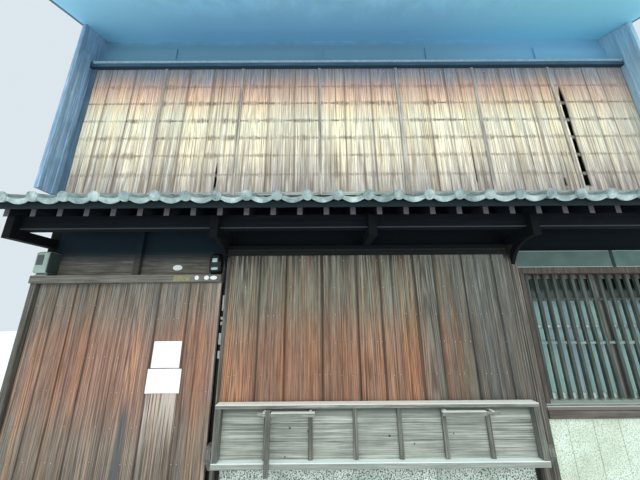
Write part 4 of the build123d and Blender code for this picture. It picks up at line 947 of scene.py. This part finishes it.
# the main eave's height follows from the wall plate, the slope and the deck's thickness
roofSettings = {"pent": {"slope": 0.40, "eaveY": 3.3775, "eaveZ": 2.470, "length": 0.566},
                "main": {"slope": 0.42, "eaveY": 3.7795}}
roof = roofSettings["main"]
stretch = math.hypot(1, roof["slope"])
roof["eaveZ"] = 5.0 + roof["slope"] * (2.727 - roof["eaveY"]) + 0.108 * stretch
roof["length"] = (roof["eaveY"] - 0.09) * stretch
for name, node, key, facing in (("pent_tile_courses", "pent_tiles", "pent", -1),
                                ("rear_pent_tile_courses", "rear_pent_tiles", "pent", 1),
                                ("roof_tile_courses_front", "roof_tiles_front", "main", -1),
                                ("roof_tile_courses_rear", "roof_tiles_rear", "main", 1)):
    tilesOn(name, node, facing, **roofSettings[key])
print("tiles laid")


# Nails: heads in rows on every board front, and pale chips beside some of them

nailSettings = {"radius": 0.0028, "height": 0.0016, "smallest": 0.7, "largest": 1.3, "tilt": 0.1, "seed": 3,
                "upperRows": (2.99, 3.22, 3.44, 3.665, 3.90, 4.135, 4.35), "upperSpacing": 0.055,
                "spacing": 0.045, "share": 0.4, "astray": 0.006, "lost": (2.31, 2.39, 4.2)}
# rows of chips: height, from, to, how many of them stay
chipSettings = {"wide": 0.0045, "high": 0.016, "out": 0.0016, "smallest": 0.6, "largest": 1.3, "tilt": 0.12,
                "seed": 8, "spacing": 0.038,
                "rows": ((4.352, 0.10, 3.10, 0.7), (4.140, 2.50, 3.12, 0.6), (4.352, -2.9, -2.3, 0.3))}


def nailRow(xLow, xHigh, spacing, y, z, dice):
    count, astray = max(1, int((xHigh - xLow) / spacing)), nailSettings["astray"]
    return [(xLow + (index + 0.5) * (xHigh - xLow) / count + dice.uniform(-astray, astray), y,
             z + dice.uniform(-astray, astray)) for index in range(count)]


def someOf(points, share, dice):
    return [point for point in points if dice.random() < share]


s = nailSettings
dice = random.Random(s["seed"])
part = newPart()
rings = []
for forward, share in ((-0.002, 1.0), (0.3, 1.0), (1.0, 0.45)):
    rings.append([(s["radius"] * share * c, -s["height"] * forward, s["radius"] * share * h)
                  for c, h in circle(7)])
addRings(part, rings)
nail = linked("nail", meshFrom("nail", part))
xLow, xHigh, yLow = boxOf("upper_shutters")[:3]
lostLow, lostHigh, lostTop = s["lost"]
points = []
for z in s["upperRows"]:
    points += [point for point in nailRow(xLow, xHigh, s["upperSpacing"], yLow, z, dice)
               if not (lostLow < point[0] < lostHigh and z < lostTop)]
placeOnPoints("upper_nails", nail, points, "nailHead", s)
points = []
for shutterName in shopSettings:
    xLow, xHigh, yLow = boxOf(shutterName)[:3]
    for z, _ in woodLooks["shopBoards"]["nailRows"][1:]:
        points += someOf(nailRow(xLow, xHigh, s["spacing"], yLow, z, dice), s["share"], dice)
placeOnPoints("shop_nails", nail, points, "nailHead", s)
for doorName in doorSettings["seams"]:
    xLow, xHigh, yLow = boxOf(doorName)[:3]
    points = []
    for z, _ in woodLooks["doorBoards"]["nailRows"]:
        points += someOf(nailRow(xLow + 0.01, xHigh - 0.03, s["spacing"], yLow, z, dice), s["share"], dice)
    placeOnPoints(doorName + "_nails", nail, points, "nailHead", s, (), doorName)
bpy.data.objects.remove(nail)

s = chipSettings
yLow = boxOf("upper_shutters")[2]
part = newPart()
addBlock(part, -s["wide"] / 2, s["wide"] / 2, -s["out"], 0.001, -s["high"] / 2, s["high"] / 2, 0.0, 0, 0.0008)
chip = linked("chip", meshFrom("chip", part))
points = []
for z, start, stop, share in s["rows"]:
    points += someOf(nailRow(start, stop, s["spacing"], yLow, z, dice), share, dice)
placeOnPoints("upper_chips", chip, points, "paleChip", s)
bpy.data.objects.remove(chip)
print("nails set")


# Rendered base: panels with open joints; the CAD piece has a deeper shop part and a shallower window part

dadoSettings = {
    "joint": 0.004, "panel": 0.02, "foot": 0.09,
    "shop": {"span": (-1.311, 1.316), "depth": (-2.7755, -2.6745), "top": 0.70, "jointAt": 0.283,
             "pitch": 0.2165},
    "window": {"span": (1.466, 3.234), "depth": (-2.8345, -2.7795), "top": 0.698, "jointAt": 1.617,
               "pitch": 0.2205},
    "inner": (1.466, 3.129, -2.7795, -2.6745, 0.09, 0.698),
}


def dadoPanels(part, span, depth, top, jointAt, pitch, finish):
    s = dadoSettings
    (xLow, xHigh), (front, back) = span, depth
    edges = [xLow]
    x = jointAt - math.ceil((jointAt - xLow) / pitch) * pitch
    while x < xHigh:
        if x > xLow + 0.02:
            edges.append(x)
        x += pitch
    edges.append(xHigh)
    half = s["joint"] / 2
    for index, (a, b) in enumerate(zip(edges, edges[1:])):
        addBlock(part, a + (half if index else 0), b - (half if index < len(edges) - 2 else 0), front,
                 front + s["panel"], s["foot"], top, index * 0.1, finish, 0.0015)
    addBlock(part, xLow, xHigh, front + s["joint"], back, s["foot"], top, 0.5, 2, 0.001)


part = newPart()
dadoPanels(part, **dadoSettings["shop"], finish=0)
dadoPanels(part, **dadoSettings["window"], finish=1)
addBlock(part, *dadoSettings["inner"], 0.2, 2, 0.001)
buildPiece("front_dado_panels", part, ["gravelRender", "paleRender", "clayWall"], ["front_dado"])


# Bench boards, with open joints between them and knots in the material

benchSettings = {"boards": 3, "boardJoint": (0.001, 0.0015), "half": 1.333, "topRail": 0.030,
                 "footRail": 0.044, "stile": 0.050, "battenWidth": 0.036, "battenDepth": 0.020,
                 "battens": (0.1833, 0.5499, 0.9164), "pinRadius": 0.012, "pinPlace": (-2.905, 0.510),
                 "seed": 21}
s = benchSettings
xLow, xHigh, yLow, yHigh, zLow, zHigh = boxOf("bench_boards")
part = newPart()
for index, low in enumerate((zLow, *evenly(zLow, zHigh, s["boards"]))):
    high = low + (zHigh - zLow) / s["boards"]
    addBlock(part, xLow, xHigh, yLow - 0.0005 * index, yHigh, low + s["boardJoint"][0],
             high - s["boardJoint"][1], 0.17 + 0.29 * index)
buildPiece("bench_board_rows", part, ["benchBoards"], ["bench_boards"], "bench")

fieldFront = yLow
_, pinEnd, yLow, yHigh, zLow, zHigh = boxOf("bench_frame")
half, inner = s["half"], s["half"] - s["stile"]
railLow, railHigh = zLow + s["footRail"], zHigh - s["topRail"]
dice = random.Random(s["seed"])
part = newPart()
rails = [(-half, half, yLow, yHigh, a, b) for a, b in ((zLow, railLow), (railHigh, zHigh))]
stiles = [(a, b, yLow, yHigh, railLow, railHigh) for a, b in ((-half, -inner), (inner, half))]
addTimbers(part, rails, dice, 0, 0.004)
addTimbers(part, stiles, dice, 1, 0.004)
pinY, pinZ = s["pinPlace"]
battenBack, battenHalf = fieldFront - s["battenDepth"], s["battenWidth"] / 2
for side in (-1, 1):
    battens = [(side * x - battenHalf, side * x + battenHalf, battenBack, fieldFront, railLow, railHigh)
               for x in s["battens"]]
    addTimbers(part, battens, dice, 1)
    addRod(part, (side * half, pinY, pinZ), (side * pinEnd, pinY, pinZ), s["pinRadius"], 12, 0.5, 1)
buildPiece("bench_frame_timbers", part, ["benchRail", "benchUpright"], ["bench_frame"], "bench")


# Posts of the ground storey; the wide one has a face of three boards beside the shop front

postSettings = {"frontRow": ((-3.234, -3.129), (-1.416, -1.311), (1.316, 1.466), (3.129, 3.234)),
                "rearRow": ((-3.234, -3.129), (-1.416, -1.311), (1.311, 1.416), (3.129, 3.234)),
                "face": ((1.3715, 1.3895), (1.3925, 1.4085), (1.4115, 1.4655)), "faceFront": -2.8445,
                "faceTop": 2.220, "front": -2.7795, "deep": 0.105, "seed": 23}
s = postSettings
postFront, postBack = s["front"], s["front"] + s["deep"]
dice = random.Random(s["seed"])
zLow, zHigh = boxOf("ground_posts")[4:]
part = newPart()
addTimbers(part, [(a, b, postFront, postBack, zLow, zHigh) for a, b in s["frontRow"]], dice)
addTimbers(part, [(a, b, -postBack, -postFront, zLow, zHigh) for a, b in s["rearRow"]], dice)
addTimbers(part, [(a, b, s["faceFront"], postFront, zLow, s["faceTop"]) for a, b in s["face"]], dice, 1)
addTimbers(part, [(s["face"][0][0], s["face"][-1][1], s["faceFront"] + 0.006, postFront, zLow,
                   s["faceTop"] - 0.001)], dice)
buildPiece("post_timbers", part, ["darkPostWood", "postFace"], ["ground_posts"])


# Window: frame, lattice of bars on a geometry tree, two sashes

windowSettings = {"left": 1.466, "right": 3.150, "backRight": 3.129, "apronTop": 0.760, "bars": 17,
                  "barWide": 0.031, "rails": (1.292, 1.685), "railHeight": 0.026, "railDepth": 0.012,
                  "sashOuter": 0.014, "sashMeeting": 0.040, "sashTop": 0.042, "sashFoot": 0.050,
                  "sashBar": 0.022, "sashBarHeight": 1.435, "edge": (0.034, 0.0405), "seed": 29,
                  "smallest": 1.0, "largest": 1.0, "tilt": 0.0}
s = windowSettings
_, _, yLow, yHigh, zLow, zHigh = boxOf("window_frame")
openLeft, openRight, barFront, barBack, openLow, openHigh = boxOf("window_lattice")
left = s["left"]
dice = random.Random(s["seed"])
part = newPart()
for a, b, right, low in ((yLow, postFront, s["right"], s["apronTop"]),
                         (postFront, yHigh, s["backRight"], zLow)):
    addTimbers(part, [(left, right, a, b, low, openLow)], dice, 0)
    jambs = [(c, d, a, b, openLow, openHigh) for c, d in ((left, openLeft), (openRight, right))]
    addTimbers(part, jambs, dice, 1)
    addTimbers(part, [(left, right, a, b, openHigh, zHigh)], dice, 2)
buildPiece("window_frame_timbers", part, ["sillWood", "jambWood", "jambWood"], ["window_frame"])

wide = s["barWide"]
gap = (openRight - openLeft - s["bars"] * wide) / (s["bars"] + 1)
part = newPart()
addBlock(part, -wide / 2, wide / 2, barFront, barBack, openLow, openHigh, 0.0, 0, 0.003)
bar = linked("latticeBar", meshFrom("latticeBar", part))
points = [(openLeft + gap + wide / 2 + index * (gap + wide), 0.0, 0.0) for index in range(s["bars"])]
placeOnPoints("lattice_bars", bar, points, "latticeWood", s, ["window_lattice"])
bpy.data.objects.remove(bar)
part = newPart()
railFront = (barFront + barBack - s["railDepth"]) / 2
# the lower rail takes the paler rail look as painted light on its lit top, the upper one the dark bar look as
# painted shade
for finish, z in enumerate(s["rails"]):
    addTimbers(part, [(openLeft, openRight, railFront, railFront + s["railDepth"], z - s["railHeight"] / 2,
                       z + s["railHeight"] / 2)], dice, finish, 0.002)
buildPiece("lattice_rails", part, ["latticeRail", "latticeWood"])

_, _, yLow, yHigh, zLow, zHigh = boxOf("window_sashes")
middle = (openLeft + openRight) / 2
barLow, barHigh = s["sashBarHeight"] - s["sashBar"] / 2, s["sashBarHeight"] + s["sashBar"] / 2
part = newPart()
for a, b, left, right in ((openLeft, middle - 0.0005, "sashOuter", "sashMeeting"),
                          (middle + 0.0005, openRight, "sashMeeting", "sashOuter")):
    left, right = a + s[left], b - s[right]
    addTimbers(part, [(a, left, yLow, yHigh, zLow, zHigh), (right, b, yLow, yHigh, zLow, zHigh)], dice, 1)
    for low, high, finish in ((zLow, zLow + s["sashFoot"], 0), (barLow, barHigh, 2),
                              (zHigh - s["sashTop"], zHigh, 1)):
        addTimbers(part, [(left, right, yLow, yHigh, low, high)], dice, finish)
addTimbers(part, [(middle + s["edge"][0], middle + s["edge"][1], yLow - 0.001, yLow + 0.004, zLow + 0.01,
                   zHigh - 0.01)], dice, 2, 0.001)
buildPiece("sash_timbers", part, ["sashFoot", "sashWood", "sashEdge"], ["window_sashes"])
print("bench, posts and window made")


# Papers on the right door, and bare plates by the entrance

# papers: left, right, foot, top, how far the ends curl
paperSettings = {"papers": ((-1.9615, -1.7125, 1.118, 1.338, 0.003), (-1.9815, -1.6865, 0.917, 1.110, 0.005)),
                 "thickness": 0.0012, "off": 0.0022, "across": 8, "up": 6, "wave": 0.0006}
# discs: middle, height, half width, half height; narrow plates: foot, top, width
plateSettings = {"transom": (-1.8845, 2.018, 0.047, 0.027),
                 "lintel": ((-1.638, 1.906, 0.020, 0.021), (-1.545, 1.906, 0.024, 0.020),
                            (-1.478, 1.906, 0.033, 0.019)),
                 "oldPlate": (-1.860, -1.700, 1.874, 1.930), "postX": -1.392,
                 "post": ((1.600, 1.745, 0.026), (1.520, 1.545, 0.034), (1.470, 1.500, 0.030),
                          (1.300, 1.400, 0.040), (1.180, 1.245, 0.034))}

s = paperSettings
across, up = s["across"], s["up"]
doorFront = boxOf("entrance_door_right")[2]
stride = (across + 1) * (up + 1)
# the points round the sheet's border, counted from its lower left corner
border = [*range(across + 1), *[row * (across + 1) + across for row in range(1, up + 1)],
          *[up * (across + 1) + column for column in range(across - 1, -1, -1)],
          *[row * (across + 1) for row in range(up - 1, 0, -1)]]
part = newPart()
for a, b, low, high, curl in s["papers"]:
    verts, faces = [], []
    for thickness in (s["thickness"], 0.0):
        for row in range(up + 1):
            for column in range(across + 1):
                u, v = column / across, row / up
                bulge = curl * (abs(u - 0.5) * 2) ** 4 + s["wave"] * math.sin(9 * u + 5 * v)
                y = doorFront - s["off"] - bulge - thickness
                verts.append((a + (b - a) * u, y, low + (high - low) * v))
    for row in range(up):
        for column in range(across):
            p = row * (across + 1) + column
            q = p + stride
            faces += [[p, p + 1, p + across + 2, p + across + 1], [q, q + across + 1, q + across + 2, q + 1]]
    for p, q in zip(border, border[1:] + border[:1]):
        faces.append([q, p, p + stride, q + stride])
    addFaces(part, verts, faces)
buildPiece("door_papers", part, ["whitePaper"], body="entrance_door_right")

s = plateSettings
lintelFront = boxOf("entrance_lintel")[2]
part = newPart()
x, z, wide, high = s["transom"]
addDisc(part, x, postFront, z, wide, high, 0.004)
for x, z, wide, high in s["lintel"]:
    addDisc(part, x, lintelFront, z, wide, high, 0.004)
a, b, low, high = s["oldPlate"]
addBlock(part, a, b, lintelFront - 0.004, lintelFront + 0.001, low, high, 0.1, 1, 0.001)
buildPiece("entrance_plates", part, ["whitePlate", "oldPlate"])

part = newPart()
for low, high, wide in s["post"]:
    a, b = s["postX"] - wide / 2, s["postX"] + wide / 2
    addBlock(part, a, b, postFront - 0.008, postFront, low, high, 0.2, 0, 0.001)
buildPiece("post_plates", part, ["whitePlate"])


# Meter: a case with a domed front over its terminals

meterSettings = {"radius": 0.018, "terminals": 0.022, "windowSides": (0.022, 0.048),
                 "windowEnds": (0.075, 0.034), "terminalInset": 0.012, "terminalFront": 0.032,
                 "plateInset": 0.004, "plateFront": 0.026, "plate": 0.006, "plugInset": 0.035,
                 "plugDepth": 0.045, "plugRadius": 0.007}


def addRoundedCase(part, xLow, xHigh, yLow, yHigh, zLow, zHigh, radius):
    # a case with rounded upright edges and a softly domed front
    rings = []
    for z, inset in ((zLow, radius * 0.4), (zLow + radius * 0.5, 0.0), (zHigh - radius, 0.0),
                     (zHigh - radius * 0.35, radius * 0.35), (zHigh, radius * 1.1)):
        ring = []
        corners = ((xHigh - inset, yLow + inset, -math.pi / 2), (xHigh - inset, yHigh, 0.0),
                   (xLow + inset, yHigh, math.pi / 2), (xLow + inset, yLow + inset, math.pi))
        for (cornerX, cornerY, start), (sideX, sideY) in zip(corners, ((-1, 1), (-1, -1), (1, -1), (1, 1))):
            size = radius if cornerY < yHigh else 0.002
            for step in range(4):
                turn = start + math.pi / 2 * step / 3
                ring.append((cornerX + size * (sideX + math.cos(turn)),
                             cornerY + size * (sideY + math.sin(turn)), z))
        rings.append(ring)
    addRings(part, rings)


s = meterSettings
xLow, xHigh, yLow, yHigh, zLow, zHigh = boxOf("meter_box")
caseLow, inset, thin = zLow + s["terminals"], s["terminalInset"], s["plateInset"]
part = newPart()
addRoundedCase(part, xLow, xHigh, yLow, yHigh, caseLow, zHigh, s["radius"])
addBlock(part, xLow + s["windowSides"][0], xHigh - s["windowSides"][1], yLow - 0.003, yLow + 0.004,
         caseLow + s["windowEnds"][0], zHigh - s["windowEnds"][1], 0.2, 1, 0.003)
addBlock(part, xLow + inset, xHigh - inset, yLow + s["terminalFront"], yHigh, zLow, caseLow, 0.3, 1, 0.004)
addBlock(part, xLow + thin, xHigh - thin, yLow + s["plateFront"], yHigh, zLow, zLow + s["plate"], 0.3, 0,
         0.001)
plugY = yLow + s["plugDepth"]
for x in (xLow + s["plugInset"], (xLow + xHigh) / 2, xHigh - s["plugInset"]):
    addRod(part, (x, plugY, zLow + s["plate"]), (x, plugY, caseLow), s["plugRadius"], 8)
buildPiece("meter_case", part, ["meterCase", "meterShadow"], ["meter_box"])


# Gate lamp: a dark case that swells towards its middle, with a window and a slot

# case: whether the height counts from the top, the height, half the width there, how far it stands out
# panes: half widths to the left and right, front, back, foot and top
lampSettings = {"case": ((False, 0.0, 0.040, 0.060), (False, 0.03, 0.054, 0.082), (False, 0.12, 0.058, 0.092),
                         (True, -0.02, 0.046, 0.080), (True, 0.0, 0.034, 0.060)),
                "panes": ((0.022, 0.026, 0.099, 0.085, 0.110, 0.150),
                          (0.030, 0.034, 0.093, 0.080, 0.036, 0.062)),
                "button": (-0.012, 0.055, 0.011)}
s = lampSettings
xLow, xHigh, yLow, yHigh, zLow, zHigh = boxOf("gate_lamp")
middle = (xLow + xHigh) / 2
rings = []
for fromTop, up, half, front in s["case"]:
    z = (zHigh if fromTop else zLow) + up
    rings.append([(middle - half, yHigh, z), (middle - half, yHigh - front * 0.8, z),
                  (middle - half * 0.7, yHigh - front, z), (middle + half * 0.7, yHigh - front, z),
                  (middle + half, yHigh - front * 0.8, z), (middle + half, yHigh, z)])
part = newPart()
addRings(part, rings)
for left, right, out, back, low, high in s["panes"]:
    addBlock(part, middle - left, middle + right, yHigh - out, yHigh - back, zLow + low, zLow + high, 0.1, 1,
             0.006)
x, z, radius = s["button"]
addDisc(part, xLow + x, postFront, zLow + z, radius, radius, 0.006, 1, 12)
buildPiece("gate_lamp_case", part, ["lampBlack", "lampGlass"], ["gate_lamp"])


# Upper trim: a pale pole along the head rail, strips on the wing boards, a dark board at the left

poleSettings = {"insets": (0.06, 0.04), "height": 4.460, "radius": 0.014, "collar": 0.019, "collarHalf": 0.02}
wingSettings = {"strips": ((0.0, 0.030), (0.135, 0.022)), "thickness": 0.014, "top": 4.84}
edgeSettings = {"wide": 0.062, "front": 0.009, "back": 0.0012}

s = poleSettings
railLow, railHigh, railFront = boxOf("upper_head_rail")[:3]
low, high = railLow + s["insets"][0], railHigh - s["insets"][1]
collars = [(x - s["collarHalf"], x + s["collarHalf"], s["collar"]) for x in (low, high)]
part = newPart()
for a, b, radius in ((low, high, s["radius"]), *collars):
    addRod(part, (a, railFront - 0.002, s["height"]), (b, railFront - 0.002, s["height"]), radius)
buildPiece("head_rail_pole", part, ["poleWood"])

s = wingSettings
part = newPart()
for side in ("left", "right"):
    xLow, xHigh, yLow, yHigh, zLow, zHigh = boxOf("wing_board_" + side)
    a, b = (xHigh, xHigh + s["thickness"]) if side == "left" else (xLow - s["thickness"], xLow)
    for start, wide in s["strips"]:
        addBlock(part, a, b, yLow + start, yLow + start + wide, zLow, s["top"], 0.4, 0, 0.003)
buildPiece("wing_strips", part, ["wingWood"])

# a dark board covers the left ends of the upper shutters; its dark blue tone is painted shade beside the wing
# board
s = edgeSettings
xLow, xHigh, yLow, yHigh, zLow, zHigh = boxOf("upper_shutters")
part = newPart()
addBlock(part, xLow, xLow + s["wide"], yLow - s["front"], yLow - s["back"], zLow, zHigh, 0.3)
buildPiece("upper_edge_trim", part, ["edgeTrim"])
print("fittings and trim made")


# Finishes of the CAD pieces that are shown as they are

cadFinishes = {
    "foundation": "plinthStone", "upper_posts": "innerWood", "party_wall_left": "clayWall",
    "party_wall_right": "clayWall", "front_storey_beam": "darkBeamWood", "front_wall_plate": "headWall",
    "rear_beams": "darkBeamWood", "upper_floor": "floorWood", "entrance_jamb": "entranceJamb",
    "entrance_transom": "transomWood", "window_glass": "windowGlass", "window_plaster_strip": "plasterStrip",
    "front_head_boards": "headBoards", "pent_rafters": "rafterWood", "pent_boards": "darkBeamWood",
    "upper_head_wall": "headWall", "roof_purlins": "innerWood", "roof_frame_front": "soffitWood",
    "roof_frame_rear": "rearEave", "roof_ridge": "smokedTile", "rear_lower_wall": "clayWall",
    "rear_upper_rails": "wingWood", "rear_pent_timber": "darkBeamWood",
}
for nodeName, finishName in cadFinishes.items():
    piece = cadNodes[nodeName]
    piece.data.materials.clear()
    piece.data.materials.append(finishes[finishName])

# CAD pieces whose edges are softened: width of the broken edge, finish, slot
softPieces = {
    "bench_axles": (0.004, "benchRail", "dark_wood"),
    "bench_leg": (0.004, "benchUpright", "grey_wood"),
    "bench_lugs": (0.004, "benchUpright", "grey_wood"),
    "shop_stiles": (0.003, "postFace", "grey_wood"),
    "shop_head_beam": (0.003, "headBeam", "grey_wood"),
    "apron_beams": (0.003, "apronWood", "grey_wood"),
    "entrance_lintel": (0.003, "beamWood", "grey_wood"),
    "entrance_threshold": (0.003, "beamWood", "grey_wood"),
    "upper_sill": (0.003, "greyWoodAcross", "grey_wood"),
    "upper_head_rail": (0.003, "headRail", "grey_wood"),
    "upper_cover_strips": (0.002, "coverStrip", "bleached_wood"),
    "pent_outrigger": (0.003, "darkBeamWood", "dark_wood"),
    "pent_brackets": (0.004, "bracketWood", "dark_wood"),
    "wing_board_left": (0.003, "wingWood", "dark_wood"),
    "wing_board_right": (0.003, "wingWood", "dark_wood"),
}
# the body of a piece that doesn't ride on the house
ridesOn = {"bench_axles": "bench", "bench_leg": "bench_leg"}


def softCopy(nodeName, width, finishName, slotName):
    # the CAD's facets are joined in a copy, its flat faces made whole and its sharp edges broken
    work = bmesh.new()
    work.from_mesh(cadNodes[nodeName].data)
    bmesh.ops.remove_doubles(work, verts=work.verts, dist=0.0001)
    bmesh.ops.dissolve_limit(work, angle_limit=math.radians(0.5), verts=work.verts, edges=work.edges)
    sharp = [edge for edge in work.edges
             if len(edge.link_faces) == 2 and edge.calc_face_angle() > math.radians(40)]
    bmesh.ops.bevel(work, geom=sharp, offset=width, offset_type="OFFSET", segments=2, profile=0.5,
                    affect="EDGES", clamp_overlap=True)
    mesh = bpy.data.meshes.new(nodeName + "_soft")
    work.to_mesh(mesh)
    work.free()
    mesh.materials.append(finishes[finishName])
    placePiece(linked(nodeName + "_soft", mesh), ridesOn.get(nodeName, "house"), [nodeName])


for nodeName, settings in softPieces.items():
    softCopy(nodeName, *settings)
print("finishes given")


# Light, floor and camera

stageSettings = {"floor": (shade(226, 228, 228), 0.9, 0.03, 1.0), "floorHalf": 30, "floorZ": -0.0005,
                 "sky": (0.86, 0.94, 1.0, 1.0), "skyStrength": 1.50, "ground": (0.42, 0.43, 0.42, 1.0),
                 "backdrop": (0.72, 0.80, 0.85, 1.0),
                 "sun": 0.6, "sunColour": (1.0, 0.97, 0.92), "sunSoft": 40, "sunTurn": (52, 0, 12),
                 "fill": 60.0, "fillColour": (0.90, 0.96, 1.0), "fillSize": (9.0, 3.0),
                 "fillPlace": (0.0, -7.5, 0.4), "fillTurn": (133, 0, 0)}
s = stageSettings

world = bpy.data.worlds.new("overcast")
bpy.context.scene.world = world
world.use_nodes = True
tree = world.node_tree
tree.nodes.clear()
height = axesOf(addNode(tree, "ShaderNodeTexCoord").outputs["Generated"])["Z"]
sky = blend(between(height, -0.05, 0.35), s["ground"], s["sky"])
lit = addNode(tree, "ShaderNodeBackground", {"Color": sky, "Strength": s["skyStrength"]})
seen = addNode(tree, "ShaderNodeBackground", {"Color": s["backdrop"], "Strength": 1.0})
rays = addNode(tree, "ShaderNodeLightPath").outputs
straight = calc("MAXIMUM", rays["Is Camera Ray"],
                calc("MAXIMUM", rays["Is Glossy Ray"], rays["Is Transmission Ray"]))
mixed = addNode(tree, "ShaderNodeMixShader", {0: straight, 1: lit.outputs[0], 2: seen.outputs[0]})
addNode(tree, "ShaderNodeOutputWorld", {"Surface": mixed.outputs[0]})

sun = bpy.data.lights.new("softSun", "SUN")
sun.energy, sun.angle, sun.color = s["sun"], math.radians(s["sunSoft"]), s["sunColour"]
linked("softSun", sun).rotation_euler = [math.radians(turn) for turn in s["sunTurn"]]

fill = bpy.data.lights.new("lowFill", "AREA")
fill.shape = "RECTANGLE"
fill.size, fill.size_y = s["fillSize"]
fill.energy, fill.color = s["fill"], s["fillColour"]
fillObject = linked("lowFill", fill)
fillObject.location = s["fillPlace"]
fillObject.rotation_euler = [math.radians(turn) for turn in s["fillTurn"]]
fillObject.visible_camera = False

half, z = s["floorHalf"], s["floorZ"]
corners = [(-half, -half, z), (half, -half, z), (half, half, z), (-half, half, z)]
floor = linked("floor", meshFrom("floor", {"verts": corners, "faces": [(0, 1, 2, 3)]}))
floor.data.materials.append(plainMaterial("floorPaint", s["floor"]))

cameraSettings = {"place": (-0.4678, -5.388, 1.585), "pitch": 105.27, "roll": -0.40, "yaw": -0.13,
                  "lens": 14.8}
s = cameraSettings
camera = bpy.data.cameras.new("view")
camera.lens = s["lens"]
camera.sensor_width = 36.0
cameraObject = linked("view", camera)
cameraObject.matrix_world = (Matrix.Translation(s["place"]) @ Matrix.Rotation(math.radians(s["yaw"]), 4, "Z")
                             @ Matrix.Rotation(math.radians(s["pitch"]), 4, "X")
                             @ Matrix.Rotation(math.radians(s["roll"]), 4, "Z"))
bpy.context.scene.camera = cameraObject
bpy.context.scene.view_settings.view_transform = "Standard"
print("light and camera set")
